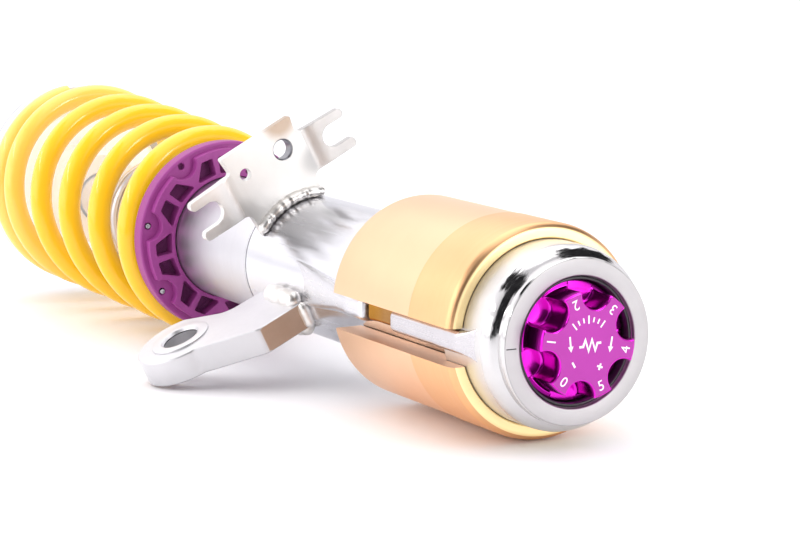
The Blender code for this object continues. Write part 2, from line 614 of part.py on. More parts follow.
def build_collar():
    samples = COLLAR_SCALLOPS * 10
    clocks = [COLLAR_FIRST_SCALLOP + math.tau * i / samples for i in range(samples)]
    rim = [polar(collar_hub_radius(clock), clock) for clock in clocks]
    bore = circle((0.0, 0.0), COLLAR_BORE_R, FINE)
    hub = extruded("collar_hub", [rim, bore], COLLAR_HUB_FACE, COLLAR_RING_FACE + 0.5 * MM)
    profile = [(COLLAR_RING_R, COLLAR_BACK), (COLLAR_RING_R, COLLAR_RING_FACE + 0.8 * MM)]
    profile += [(COLLAR_RING_R - 0.8 * MM, COLLAR_RING_FACE), (COLLAR_BORE_R, COLLAR_RING_FACE)]
    profile += [(COLLAR_BORE_R, COLLAR_BACK)]
    collar = turned("spring_collar", profile, FINE, COMPOSITE)
    combine(collar, hub, 'UNION')

    spacing = math.tau / COLLAR_SCALLOPS
    rings = []
    for index in range(COLLAR_SCALLOPS):
        clock = COLLAR_FIRST_SCALLOP + index * spacing
        rings.append(circle(polar(COLLAR_SCREW_AT, clock), COLLAR_SCREW_R + GAP, 8))
        middle = clock + spacing / 2.0
        radius_in, near_in, far_in = COLLAR_POCKET_IN
        radius_out, far_out, near_out = COLLAR_POCKET_OUT
        for side in (-1.0, 1.0):
            corners = [polar(radius_in, middle + side * angle) for angle in (near_in, far_in)]
            corners += [polar(radius_out, middle + side * angle) for angle in (far_out, near_out)]
            rings.append(corners)
    pockets = extruded("collar_pockets", rings, COLLAR_HUB_FACE - 1.0 * MM, COLLAR_WEB)
    combine(collar, pockets, 'DIFFERENCE')

    for name, index in COLLAR_SCREWS:
        centre = polar(COLLAR_SCREW_AT, COLLAR_FIRST_SCALLOP + index * spacing)
        screw = extruded(name, [circle(centre, COLLAR_SCREW_R, 8)],
                         COLLAR_RING_FACE - GAP, COLLAR_WEB - GAP)
        finish_part(screw, STEEL)

    profile = [(SEAT_SPIGOT_R - 1.0 * MM, SEAT_SPIGOT_END), (SEAT_SPIGOT_R, SEAT_SPIGOT_END - 1.0 * MM)]
    profile += [(SEAT_SPIGOT_R, SEAT_FLANGE_END), (SEAT_R, SEAT_FLANGE_END), (SEAT_R, SEAT_START)]
    profile += [(COLLAR_BORE_R, SEAT_START), (COLLAR_BORE_R, SEAT_SPIGOT_END)]
    turned("seat_ring", profile, FINE, STEEL)


def spring_level(turn):
    """Height of the wire's centre: a level first coil, an even pitch and a closed last coil."""
    rising = SPRING_FIRST_COIL + SPRING_PITCH * turn
    level = SPRING_LOW + SPRING_BLEND * math.log1p(math.exp((rising - SPRING_LOW) / SPRING_BLEND))
    closing = SPRING_HIGH - SPRING_END_PITCH * (SPRING_END_TURN - turn)
    return closing - SPRING_BLEND * math.log1p(math.exp((closing - level) / SPRING_BLEND))


def spring_offset(level):
    """Sideways shift of the coil's centre: the spring leans to offset the side load."""
    return SPRING_TILT * (level - SEAT_START)


def build_spring():
    count = int((SPRING_END_TURN - SPRING_START_TURN) * SPRING_POINTS_PER_TURN)
    points = []
    for i in range(count + 1):
        turn = SPRING_START_TURN + (SPRING_END_TURN - SPRING_START_TURN) * i / count
        level = spring_level(turn)
        share = (level - SPRING_LOW) / (SPRING_HIGH - SPRING_LOW)
        radius = SPRING_LOW_R + (SPRING_HIGH_R - SPRING_LOW_R) * share
        clock = math.tau * turn
        x, y = polar(radius, clock)
        points.append((x - spring_offset(level), y, level))
    spring = tube_along("main_spring", points, WIRE_R, 2)
    finish_part(spring, YELLOW)


# ---- upper seat and bearing -------------------------------------------------------------
def eccentric(item):
    """Move a turned part onto the spring's centre line at its upper end."""
    item.location.x = -spring_offset(SPRING_HIGH)
    return item


def build_upper_seat():
    eccentric(ring("seat_pad", PLATE_SPIGOT_R + GAP, PAD_R, PAD_START, PAD_END, FINE, RUBBER))
    wall = 2.5 * MM
    profile = [(PLATE_R - 0.8 * MM, PLATE_END), (PLATE_R, PLATE_END - 0.8 * MM)]
    profile += [(PLATE_R, PLATE_START), (PLATE_SPIGOT_R, PLATE_START)]
    profile += [(PLATE_SPIGOT_R, PLATE_SPIGOT_START), (PLATE_SPIGOT_R - wall, PLATE_SPIGOT_START)]
    profile += [(PLATE_SPIGOT_R - wall, PLATE_START), (0.0, PLATE_START), (0.0, PLATE_END)]
    plate = turned("upper_seat", profile, FINE, ZINC)
    eccentric(plate)
    bore = extruded("upper_seat_bore", [circle((0.0, 0.0), PLATE_BORE_R, COARSE)],
                    PLATE_START - 5.0 * MM, PLATE_END + 5.0 * MM)
    combine(plate, bore, 'DIFFERENCE')

    ring("lower_race", PLATE_BORE_R + 0.4 * MM, RACE_R, PLATE_END + GAP, LOWER_RACE_END, MEDIUM, STEEL)
    ring("bearing_cage", CAGE_INNER_R, CAGE_OUTER_R, LOWER_RACE_END + GAP, CAGE_END, MEDIUM, BRONZE)
    land = UPPER_RACE_END - 0.8 * MM
    profile = [(RACE_R, UPPER_RACE_END), (RACE_R, CAGE_END + GAP), (ROD_END_BORE_R, CAGE_END + GAP)]
    profile += [(ROD_END_BORE_R, land), (RACE_LAND, land), (RACE_LAND, UPPER_RACE_END)]
    turned("upper_race", profile, MEDIUM, STEEL)
    ring("rod_washer", ROD_END_BORE_R, WASHER_R, land + GAP, WASHER_END, MEDIUM, ZINC)
    hexagon("rod_nut", NUT_R, ROD_END_BORE_R, WASHER_END + GAP, NUT_END, ZINC)

    rim = []
    knurls = 24
    for i in range(knurls * 2):
        rim.append(polar(DIAL_R - 0.4 * MM * (i % 2), math.tau * i / (knurls * 2)))
    dial = extruded("rebound_dial", [rim], ROD_TOP + GAP, DIAL_END)
    finish_part(dial, PURPLE)


def lay_down():
    """Lay the strut along world +X with its bounding box standing on the origin."""
    FRAME.rotation_euler = (0.0, math.pi / 2.0, 0.0)
    bpy.context.view_layer.update()
    graph = bpy.context.evaluated_depsgraph_get()
    corners = []
    for item in PARTS.objects:
        if item.type == 'MESH':
            solid = item.evaluated_get(graph)
            corners += [item.matrix_world @ vertex.co for vertex in solid.data.vertices]
    low = [min(corner[axis] for corner in corners) for axis in range(3)]
    high = [max(corner[axis] for corner in corners) for axis in range(3)]
    FRAME.location = (-(low[0] + high[0]) / 2.0, -(low[1] + high[1]) / 2.0, -low[2])
    bpy.context.view_layer.update()


build_end_cap()
build_outer_tube()
build_clamp_sleeve()
build_rib_and_tab()
build_hose_bracket()
build_link_bracket()
build_bump_adjuster()
build_internals()
build_rod()
build_collar()
build_spring()
build_upper_seat()
lay_down()
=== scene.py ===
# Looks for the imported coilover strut: fine meshes, materials, studio light and camera.
#
# Every piece is modelled in the strut's own frame: +Z runs along the damper from its lower
# end face, and a "clock" angle is measured around it from row +Y towards row +Z. STRUT
# carries that frame into the row frame. Lengths are in millimetres until a mesh is made.
from math import acos, asin, atan2, cos, degrees, exp, log1p, pi, radians, sin, sqrt, tan, tau

import bmesh
import bpy
from mathutils import Matrix, Vector, noise


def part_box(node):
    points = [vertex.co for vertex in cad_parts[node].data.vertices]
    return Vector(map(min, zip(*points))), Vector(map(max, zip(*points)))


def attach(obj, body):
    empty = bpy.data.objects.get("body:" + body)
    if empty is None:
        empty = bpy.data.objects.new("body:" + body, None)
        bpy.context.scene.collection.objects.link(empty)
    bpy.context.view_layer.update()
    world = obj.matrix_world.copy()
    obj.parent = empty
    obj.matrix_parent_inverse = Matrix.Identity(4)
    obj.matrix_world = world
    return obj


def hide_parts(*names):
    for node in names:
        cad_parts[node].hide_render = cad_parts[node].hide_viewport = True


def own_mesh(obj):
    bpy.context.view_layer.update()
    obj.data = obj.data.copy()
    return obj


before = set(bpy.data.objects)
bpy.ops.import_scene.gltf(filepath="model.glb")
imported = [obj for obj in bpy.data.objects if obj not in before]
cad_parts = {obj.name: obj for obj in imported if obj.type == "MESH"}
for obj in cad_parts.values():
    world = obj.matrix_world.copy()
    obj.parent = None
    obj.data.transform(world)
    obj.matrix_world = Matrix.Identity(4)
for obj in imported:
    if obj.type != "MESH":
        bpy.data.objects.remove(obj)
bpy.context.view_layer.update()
MM = 0.001

CAP_LOW, CAP_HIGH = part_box("end_cap")
AXIS = Vector((CAP_LOW.x, (CAP_LOW.y + CAP_HIGH.y) / 2.0, (CAP_LOW.z + CAP_HIGH.z) / 2.0))
STRUT = Matrix.Translation(AXIS) @ Matrix.Rotation(pi / 2.0, 4, 'Y')
SMOOTH = 144
MERGE, SLIVER = 0.002, 0.001


def span(node):
    """Where a CAD node starts and ends along the damper, in millimetres."""
    low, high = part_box(node)
    return (low.x - AXIS.x) / MM, (high.x - AXIS.x) / MM


def radius_of(node):
    """A turned CAD node's outer radius, in millimetres."""
    low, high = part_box(node)
    return (high.y - low.y) / 2.0 / MM


# ---- materials --------------------------------------------------------------------------
# How object coordinates are stretched for each grain. Turned grain runs around the damper.
STRETCH = {"turned": (1.0, 1.0, 1.0), "drawn": (1.0, 1.0, 0.02), "even": (1.0, 1.0, 1.0),
           "rubbed": (1.0, 1.0, 4.0)}


def feed(tree, node, inputs):
    """Link the inputs that are given a socket, and set the others to their value."""
    for name, value in inputs.items():
        if isinstance(value, bpy.types.NodeSocket):
            tree.links.new(value, node.inputs[name])
        else:
            node.inputs[name].default_value = value


def add_node(tree, kind, inputs, **settings):
    """Add a shader node and return its outputs."""
    node = tree.nodes.new("ShaderNode" + kind)
    for name, value in settings.items():
        setattr(node, name, value)
    feed(tree, node, inputs)
    return node.outputs


def grain_coordinates(tree, grain="even", scale=1.0):
    """Object coordinates, scaled and stretched along the grain."""
    source = add_node(tree, "TexCoord", {})["Object"]
    if grain == "turned":
        split = add_node(tree, "SeparateXYZ", {0: source})
        flat = add_node(tree, "CombineXYZ", {"X": split["X"], "Y": split["Y"]})
        radius = add_node(tree, "VectorMath", {0: flat[0]}, operation='LENGTH')
        source = add_node(tree, "CombineXYZ", {"X": radius["Value"], "Z": split["Z"]})[0]
    size = tuple(scale * factor for factor in STRETCH[grain])
    return add_node(tree, "Mapping", {"Scale": size, "Vector": source})[0]


def noise_texture(tree, vector):
    inputs = {"Scale": 1.0, "Detail": 4.0, "Roughness": 0.6, "Vector": vector}
    return add_node(tree, "TexNoise", inputs)["Fac"]


def ramp(tree, value, low, high, start=0.34, end=0.66):
    """Map a value to two colours, or to two grey levels, blended between two positions."""
    colour = add_node(tree, "ValToRGB", {"Fac": value})["Color"]
    for stop, place, shade in zip(colour.node.color_ramp.elements, (start, end), (low, high)):
        stop.position = place
        stop.color = (*shade, 1.0)
    return colour


# A finish is the grain and its scale, the relief's strength and depth in mm, and metallic.
MATT = dict(grain="even", scale=900.0, bump=0.15, depth=0.03, metallic=0.0)
TURNED = dict(grain="turned", scale=1400.0, bump=0.08, depth=0.02, metallic=1.0)
DRAWN = dict(TURNED, grain="drawn")
SHEET = dict(grain="even", scale=500.0, bump=0.02, depth=0.02, metallic=0.7)
ANODISED = dict(TURNED, scale=2200.0, bump=0.10)
PLATED = dict(TURNED, scale=1500.0, bump=0.15, depth=0.03)
INK = dict(MATT, scale=3000.0, bump=0.1, depth=0.01)


def surface(name, light, dark, rough, finish, patches=60.0, coat=0.0, coat_rough=0.1, specular=0.5,
            glow=(1.0, 1.0, 1.0, 0.0), **changes):
    """A material with colour patches, grain in its roughness, and grain in its relief."""
    made = bpy.data.materials.new(name)
    made.use_nodes = True
    tree = made.node_tree
    use = {**finish, **changes}
    blotches = noise_texture(tree, grain_coordinates(tree, scale=patches))
    strands = noise_texture(tree, grain_coordinates(tree, use["grain"], use["scale"]))
    relief = {"Strength": use["bump"], "Distance": use["depth"] * MM, "Height": strands}
    feed(tree, tree.nodes["Principled BSDF"], {
        "Base Color": ramp(tree, blotches, dark, light), "Metallic": use["metallic"],
        "Roughness": ramp(tree, strands, (rough[0],) * 3, (rough[1],) * 3),
        "Normal": add_node(tree, "Bump", relief)["Normal"],
        "Coat Weight": coat, "Coat Roughness": coat_rough, "Specular IOR Level": specular,
        "Emission Color": (*glow[:3], 1.0), "Emission Strength": glow[3]})
    return made


TUBE_STEEL = surface("tube_steel", (0.73, 0.73, 0.76), (0.69, 0.69, 0.72), (0.20, 0.28), DRAWN,
                     scale=900.0, bump=0.012, depth=0.01)
CAP_STEEL = surface("cap_steel", (0.69, 0.68, 0.68), (0.64, 0.63, 0.63), (0.06, 0.18), TURNED,
                    grain="rubbed", scale=420.0, bump=0.35, depth=0.08)
THREAD_STEEL = surface("thread_steel", (0.66, 0.655, 0.68), (0.62, 0.615, 0.64), (0.34, 0.42), TURNED)
# Painted shade: dark steel for the groove in the tube and for the clip nut.
SHADE_STEEL = surface("shade_steel", (0.30, 0.30, 0.32), (0.25, 0.25, 0.27), (0.30, 0.40), TURNED)
RIB_STEEL = surface("rib_steel", (0.60, 0.58, 0.60), (0.56, 0.54, 0.56), (0.24, 0.32), DRAWN)
TAB_STEEL = surface("tab_steel", (0.71, 0.705, 0.73), (0.67, 0.665, 0.69), (0.26, 0.34), DRAWN, bump=0.05)
# Painted reflection: the gold sleeve's brown-gold, mirrored in the rib's notch.
NOTCH_REFLECTION = surface("notch_reflection", (0.36, 0.17, 0.03), (0.25, 0.11, 0.02), (0.14, 0.24), DRAWN)
# Painted shade: near-black steel for the step behind the tube's lip and for the link boss's bore.
BORE_SHADE = surface("bore_shade", (0.12, 0.12, 0.13), (0.07, 0.07, 0.08), (0.10, 0.20), TURNED, bump=0.10)
FACE_STEEL = surface("face_steel", (0.48, 0.465, 0.468), (0.455, 0.44, 0.443), (0.40, 0.50), TURNED,
                     scale=2600.0, bump=0.20, metallic=0.9)
SKIRT_STEEL = surface("skirt_steel", (0.69, 0.68, 0.675), (0.66, 0.65, 0.645), (0.36, 0.44), TURNED,
                      metallic=0.9)
BRACKET_STEEL = surface("bracket_steel", (0.73, 0.72, 0.70), (0.69, 0.68, 0.66), (0.28, 0.36), SHEET,
                        metallic=0.35)
# Painted light and shade: the wings are the plate's own sheet, one painted lighter and one painted darker.
WING_LIT = surface("wing_lit", (0.78, 0.765, 0.75), (0.72, 0.705, 0.685), (0.28, 0.36), SHEET)
WING_SHADE = surface("wing_shade", (0.47, 0.455, 0.445), (0.42, 0.405, 0.39), (0.28, 0.36), SHEET,
                     metallic=0.8)
ARM_STEEL = surface("arm_steel", (0.665, 0.655, 0.67), (0.635, 0.625, 0.64), (0.30, 0.38), SHEET,
                    bump=0.04, depth=0.03, metallic=0.78)
# Painted reflection: the arm's end face is painted tan.
ARM_END_REFLECTION = surface("arm_end_reflection", (0.56, 0.43, 0.34), (0.50, 0.37, 0.285), (0.34, 0.44), SHEET,
                  scale=900.0, bump=0.12, depth=0.03)
WELD_STEEL = surface("weld_steel", (0.95, 0.93, 0.90), (0.80, 0.77, 0.73), (0.32, 0.42), SHEET,
                     patches=200.0, scale=380.0, bump=0.08, depth=0.08, metallic=1.0)
GOLD = surface("gold_anodised", (0.93, 0.59, 0.365), (0.91, 0.57, 0.35), (0.34, 0.42), ANODISED)
GOLD_FRONT = surface("gold_front", (0.87, 0.515, 0.26), (0.85, 0.49, 0.245), (0.36, 0.44), ANODISED)
# Painted highlight: the sleeve's flat front rim is paler gold and glows a little.
GOLD_RIM_GLOW = surface("gold_rim_glow", (1.0, 0.78, 0.42), (0.98, 0.75, 0.40), (0.40, 0.50), ANODISED,
                   glow=(1.0, 0.80, 0.40, 0.22))
KNOB_FACE = surface("knob_face", (0.41, 0.042, 0.345), (0.385, 0.038, 0.32), (0.40, 0.50), MATT,
                    scale=2600.0, bump=0.25, depth=0.02, metallic=0.55)
KNOB_SIDE = surface("knob_side", (0.74, 0.022, 0.60), (0.69, 0.018, 0.56), (0.16, 0.26), ANODISED,
                    depth=0.01)
# Painted shade: the flange outside the lobes is painted dark for the pocket's shade.
KNOB_FLANGE_SHADE = surface("knob_flange_shade", (0.24, 0.006, 0.19), (0.20, 0.005, 0.16), (0.18, 0.28), ANODISED,
                      depth=0.01)
COLLAR_FACE = surface("collar_composite", (0.345, 0.054, 0.268), (0.31, 0.047, 0.24), (0.38, 0.48), MATT,
                      scale=1500.0, specular=0.35)
COLLAR_FLOOR = surface("collar_floor", (0.205, 0.030, 0.158), (0.165, 0.025, 0.128), (0.45, 0.60), MATT,
                       scale=1500.0, bump=0.3, depth=0.04)
YELLOW = surface("yellow_powder", (1.0, 0.60, 0.012), (0.99, 0.575, 0.010), (0.30, 0.38), MATT,
                 scale=420.0, bump=0.03, depth=0.02, coat=0.75, coat_rough=0.08, specular=0.25)
# Painted light: the upper seat's face is painted white and glows a little, so it shows bright between the
# far coils.
SEAT_GLOW = surface("seat_white_glow", (0.92, 0.915, 0.90), (0.88, 0.875, 0.86), (0.45, 0.55), MATT,
                     grain="turned", bump=0.10, glow=(1.0, 1.0, 1.0, 0.20))
SEAT_BACK = surface("seat_back", (0.58, 0.58, 0.60), (0.52, 0.52, 0.54), (0.30, 0.40), PLATED,
                    metallic=0.85)
PAD_GREY = surface("pad_grey", (0.55, 0.54, 0.53), (0.48, 0.47, 0.46), (0.45, 0.55), MATT)
RUBBER = surface("black_rubber", (0.030, 0.028, 0.032), (0.018, 0.017, 0.020), (0.30, 0.42), MATT,
                 scale=1200.0, bump=0.2)
ZINC = surface("zinc_plate", (0.86, 0.86, 0.88), (0.74, 0.74, 0.78), (0.24, 0.38), PLATED)
CHROME = surface("hard_chrome", (0.92, 0.92, 0.94), (0.88, 0.88, 0.91), (0.04, 0.09), PLATED,
                 scale=3000.0, bump=0.05, depth=0.01)
BRONZE = surface("bronze", (0.62, 0.40, 0.19), (0.50, 0.32, 0.15), (0.28, 0.42), PLATED, scale=1600.0)
# Painted light: the foam glows a little, to lighten it between the coils.
FOAM_GLOW = surface("foam", (0.93, 0.92, 0.90), (0.88, 0.87, 0.85), (0.70, 0.85), MATT,
               bump=0.5, depth=0.15, glow=(1.0, 1.0, 1.0, 0.12))
WHITE_INK = surface("white_ink", (0.95, 0.93, 0.96), (0.90, 0.87, 0.92), (0.40, 0.50), INK)
BLACK_INK = surface("black_ink", (0.05, 0.05, 0.05), (0.03, 0.03, 0.03), (0.45, 0.55), INK)
BLACK_CARD = surface("black_card", (0.012, 0.012, 0.013), (0.008, 0.008, 0.009), (0.9, 1.0), MATT,
                     scale=20.0, bump=0.1, depth=0.1, specular=0.1)


def add_weave(made, pitch, strength, depth):
    """Add a fine square weave to a material's relief, on top of its grain."""
    tree = made.node_tree
    shader = tree.nodes["Principled BSDF"]
    split = add_node(tree, "SeparateXYZ", {0: grain_coordinates(tree)})
    waves = []
    for axis in "XY":
        turns = add_node(tree, "Math", {0: split[axis], 1: tau / (pitch * MM)}, operation='MULTIPLY')
        waves.append(add_node(tree, "Math", {0: turns[0]}, operation='SINE')[0])
    woven = add_node(tree, "Math", {0: waves[0], 1: waves[1]}, operation='MULTIPLY')
    relief = add_node(tree, "Bump", {"Strength": strength, "Distance": depth * MM, "Height": woven[0],
                                     "Normal": shader.inputs["Normal"].links[0].from_socket})
    feed(tree, shader, {"Normal": relief["Normal"]})


def tint(made, measure, levels, shares, colour):
    """Blend a material's colour to another one as a measured value passes two levels."""
    tree = made.node_tree
    shader = tree.nodes["Principled BSDF"]
    amount = add_node(tree, "MapRange", {
        "Value": measure, "From Min": levels[0] * MM, "From Max": levels[1] * MM,
        "To Min": shares[0], "To Max": shares[1]}, interpolation_type='SMOOTHSTEP')["Result"]
    plain = shader.inputs["Base Color"].links[0].from_socket
    blend = add_node(tree, "Mix", {0: amount, 6: plain, 7: (*colour, 1.0)}, data_type='RGBA')
    feed(tree, shader, {"Base Color": blend[2]})


def fade_along(made, start, end, colour, share):
    """Tint a material along the strut, from nothing to a share between two levels."""
    split = add_node(made.node_tree, "SeparateXYZ", {0: grain_coordinates(made.node_tree)})
    tint(made, split["Z"], (start, end), (0.0, share), colour)


def fade_around(made, centre, near, far, colour, share):
    """Tint a material around a point, from a share to nothing between two distances."""
    points = {0: grain_coordinates(made.node_tree), 1: tuple(centre * MM)}
    apart = add_node(made.node_tree, "VectorMath", points, operation='DISTANCE')
    tint(made, apart["Value"], (near, far), (share, 0.0), colour)


add_weave(COLLAR_FLOOR, 0.7, 0.8, 0.12)
# Painted highlight: the far coils are tinted pale cream, as light that washes them out.
fade_along(YELLOW, 350.0, 412.0, (1.0, 0.84, 0.44), 0.30)


# ---- mesh helpers -----------------------------------------------------------------------
def polar(radius, clock, along=0.0):
    return Vector((-radius * sin(clock), radius * cos(clock), along))


def arc(centre, radius, first, last, steps):
    """Points on a circle arc with no fillet, angles in degrees, both ends included."""
    points = []
    for i in range(steps + 1):
        angle = radians(first + (last - first) * i / steps)
        x, y = centre[0] + radius * cos(angle), centre[1] + radius * sin(angle)
        points.append((x, y, 0.0))
    return points


def circle(centre, radius, steps=48):
    return arc(centre, radius, 0.0, 360.0 * (steps - 1) / steps, steps - 1)


def fillet(points, steps=4):
    """Round the corners of a closed outline of (x, y, corner radius)."""
    rounded = []
    for i, (x, y, corner) in enumerate(points):
        here = Vector((x, y))
        back = Vector(points[i - 1][:2]) - here
        ahead = Vector(points[(i + 1) % len(points)][:2]) - here
        if corner <= 0.0 or min(back.length, ahead.length) < 1e-6:
            rounded.append((x, y))
            continue
        limit = 0.49 * min(back.length, ahead.length)
        back.normalize()
        ahead.normalize()
        half = back.angle(ahead) / 2.0
        cut = min(corner / tan(half), limit)
        corner = cut * tan(half)
        centre = here + (back + ahead).normalized() * (corner / sin(half))
        start, end = here + back * cut - centre, here + ahead * cut - centre
        first = atan2(start.y, start.x)
        turn = (atan2(end.y, end.x) - first + pi) % tau - pi
        for k in range(steps + 1):
            angle = first + turn * k / steps
            rounded.append((centre.x + corner * cos(angle), centre.y + corner * sin(angle)))
    return rounded


def linked(name, data):
    """A new object in the scene."""
    item = bpy.data.objects.new(name, data)
    bpy.context.scene.collection.objects.link(item)
    return item


def mesh_of(name, work):
    """Turn a bmesh into a mesh."""
    mesh = bpy.data.meshes.new(name)
    work.to_mesh(mesh)
    work.free()
    return mesh


def evaluated_mesh(item):
    """The mesh that an object's curve, text or modifiers make."""
    bpy.context.view_layer.update()
    return bpy.data.meshes.new_from_object(item.evaluated_get(bpy.context.evaluated_depsgraph_get()))


def curve_mesh(curve):
    source = linked("outline", curve)
    mesh = evaluated_mesh(source)
    bpy.data.objects.remove(source, do_unlink=True)
    return mesh


def finished(name, work, sharp=32.0):
    """Close a bmesh in millimetres into a smooth-shaded object in the row frame."""
    bmesh.ops.remove_doubles(work, verts=work.verts, dist=MERGE)
    bmesh.ops.dissolve_degenerate(work, edges=work.edges, dist=SLIVER)
    bmesh.ops.recalc_face_normals(work, faces=work.faces)
    bmesh.ops.scale(work, vec=(MM, MM, MM), verts=work.verts)
    mesh = mesh_of(name, work)
    mesh.shade_smooth()
    mesh.set_sharp_from_angle(angle=radians(sharp))
    item = linked(name, mesh)
    item.matrix_world = STRUT
    return item


def apply_modifier(item):
    mesh = evaluated_mesh(item)
    item.modifiers.clear()
    item.data = mesh


def grid(work, rows, wrap_rows, wrap_columns):
    """Join rows of points into quads, and return the rows of vertices."""
    made = [[work.verts.new(point) for point in row] for row in rows]
    count = len(made)
    for i in range(count if wrap_rows else count - 1):
        here, after = made[i], made[(i + 1) % count]
        width = len(here)
        for j in range(width if wrap_columns else width - 1):
            k = (j + 1) % width
            work.faces.new((here[j], here[k], after[k], after[j]))
    return made


def lathe(name, profile, segments=SMOOTH, steps=4, centre=(0.0, 0.0), sharp=32.0, lump=None):
    """Turn a closed outline of (radius, z, corner) around the damper's axis."""
    outline = fillet(profile, steps)
    rows = []
    for i in range(segments):
        angle = tau * i / segments
        row = []
        for radius, z in outline:
            extra = lump(radius, z, angle) if lump else 0.0
            row.append(((radius + extra) * cos(angle) + centre[0],
                        (radius + extra) * sin(angle) + centre[1], z))
        rows.append(row)
    work = bmesh.new()
    grid(work, rows, True, True)
    return finished(name, work, sharp)


def ring(name, inner, outer, start, end, corner=0.3, **extra):
    profile = [(outer, start, corner), (outer, end, corner), (inner, end, corner), (inner, start, corner)]
    return lathe(name, profile, **extra)


def plate(name, outlines, low, high, edge=0.4, basis=None, steps=5, bend=None, cuts=()):
    """A flat outline with holes, extruded from low to high with rounded edges.

    cuts are levels along y where the faces are divided before bend moves the points, and the
    large flat faces set the shading of the rounded edges.
    """
    curve = bpy.data.curves.new(name, 'CURVE')
    curve.dimensions = '2D'
    curve.fill_mode = 'BOTH'
    curve.extrude = (high - low) / 2.0 - edge
    curve.bevel_depth = edge
    curve.bevel_resolution = 2
    curve.offset = -edge
    for outline in outlines:
        points = fillet(outline, steps)
        spline = curve.splines.new('POLY')
        spline.points.add(len(points) - 1)
        for point, (x, y) in zip(spline.points, points):
            point.co = (x, y, 0.0, 1.0)
        spline.use_cyclic_u = True
    mesh = curve_mesh(curve)
    work = bmesh.new()
    work.from_mesh(mesh)
    bpy.data.meshes.remove(mesh)
    bmesh.ops.remove_doubles(work, verts=work.verts, dist=MERGE)
    bmesh.ops.translate(work, vec=(0.0, 0.0, (low + high) / 2.0), verts=work.verts)
    across = Vector((0.0, 1.0, 0.0))
    for level in cuts:
        everything = work.verts[:] + work.edges[:] + work.faces[:]
        bmesh.ops.bisect_plane(work, geom=everything, plane_co=across * level, plane_no=across)
    if bend:
        for vertex in work.verts:
            vertex.co = bend(vertex.co.copy())
    if basis:
        bmesh.ops.transform(work, matrix=basis, verts=work.verts)
    item = finished(name, work)
    item.modifiers.new("level", 'WEIGHTED_NORMAL').keep_sharp = True
    apply_modifier(item)
    return item


def capped(work, layers):
    """Join closed outlines of equal length, with flat ends."""
    made = grid(work, layers, False, True)
    work.faces.new(made[0])
    work.faces.new(made[-1])


def loft(name, layers, sharp=32.0):
    work = bmesh.new()
    capped(work, layers)
    return finished(name, work, sharp)


def sweep(name, path, section, sharp=40.0):
    """A bar along a path. section(i) gives its outline as (outward, sideways) offsets."""
    rows = []
    for i, here in enumerate(path):
        ahead = path[min(i + 1, len(path) - 1)] - path[max(i - 1, 0)]
        ahead.normalize()
        out = Vector((here.x, here.y, 0.0))
        out = (out - ahead * out.dot(ahead)).normalized()
        side = ahead.cross(out)
        rows.append([here + out * a + side * b for a, b in section(i)])
    return loft(name, rows, sharp)


RIPPLES, BEAD_STEP, BEAD_SIDES = 0.05, 0.3, 18


def weld(name, path, radius, seed, pitch=3.4):
    """A weld bead: overlapping puddles along a path, with rounded ends and uneven flow."""
    fine = []
    for start, end in zip(path, path[1:]):
        steps = max(1, int((end - start).length / BEAD_STEP))
        fine += [start.lerp(end, k / steps) for k in range(steps)]
    fine.append(path[-1])
    travelled = [0.0]
    for start, end in zip(fine, fine[1:]):
        travelled.append(travelled[-1] + (end - start).length)
    total = travelled[-1]

    def section(i):
        along = travelled[i]
        wander = along + 1.2 * noise.noise(Vector((along * 0.3, seed, 5.0)))
        ripple = 1.0 - RIPPLES + RIPPLES * cos(tau * wander / pitch)
        drift = 0.08 * noise.noise(Vector((along * 0.25, seed, 0.0)))
        end = min(along, total - along) / radius
        cap = sqrt(max(0.02, 1.0 - (1.0 - min(end, 1.0)) ** 2))
        size = radius * (ripple + drift) * cap
        outline = []
        for k in range(BEAD_SIDES):
            angle = tau * k / BEAD_SIDES
            lumps = 1.0 + 0.07 * noise.noise(Vector((along * 0.30, 1.2 * cos(angle) + seed,
                                                     1.2 * sin(angle))))
            outline.append((size * lumps * cos(angle), 1.15 * size * lumps * sin(angle)))
        return outline

    return sweep(name, fine, section, sharp=70.0)


def paint(item, choose, *materials):
    """Give a piece several materials. choose numbers one for each face, from its centre in mm."""
    for made in materials:
        item.data.materials.append(made)
    for polygon in item.data.polygons:
        polygon.material_index = int(choose(polygon.center / MM))


def own(item, body, made, slot, *nodes):
    """Give a piece the body it rides on, the CAD nodes it stands for and its material.

    A piece that paint has been used on already has its materials, so made is None for it.
    """
    if made:
        item.data.materials.append(made)
    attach(item, body)
    if nodes:
        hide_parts(*nodes)
    return item


def cut(item, tool):
    """Cut a tool out of a piece, and remove the tool."""
    step = item.modifiers.new("cut", 'BOOLEAN')
    step.operation = 'DIFFERENCE'
    step.solver = 'EXACT'
    step.object = tool
    apply_modifier(item)
    bpy.data.objects.remove(tool, do_unlink=True)


def clock_basis(clock):
    """X points outwards at a clock angle, Y around the damper, Z along it."""
    outward = polar(1.0, clock)
    along = Vector((0.0, 0.0, 1.0))
    return Matrix((outward, along.cross(outward), along)).transposed().to_4x4()


def radial_basis(clock):
    """X along the damper, Y outwards at a clock angle, Z across that radial plane."""
    outward = polar(1.0, clock)
    along = Vector((0.0, 0.0, 1.0))
    return Matrix((along, outward, along.cross(outward))).transposed().to_4x4()


def cornered(radius, clock, corner=0.0):
    """An outline's point at a radius and a clock angle, with its corner radius."""
    point = polar(radius, clock)
    return point.x, point.y, corner


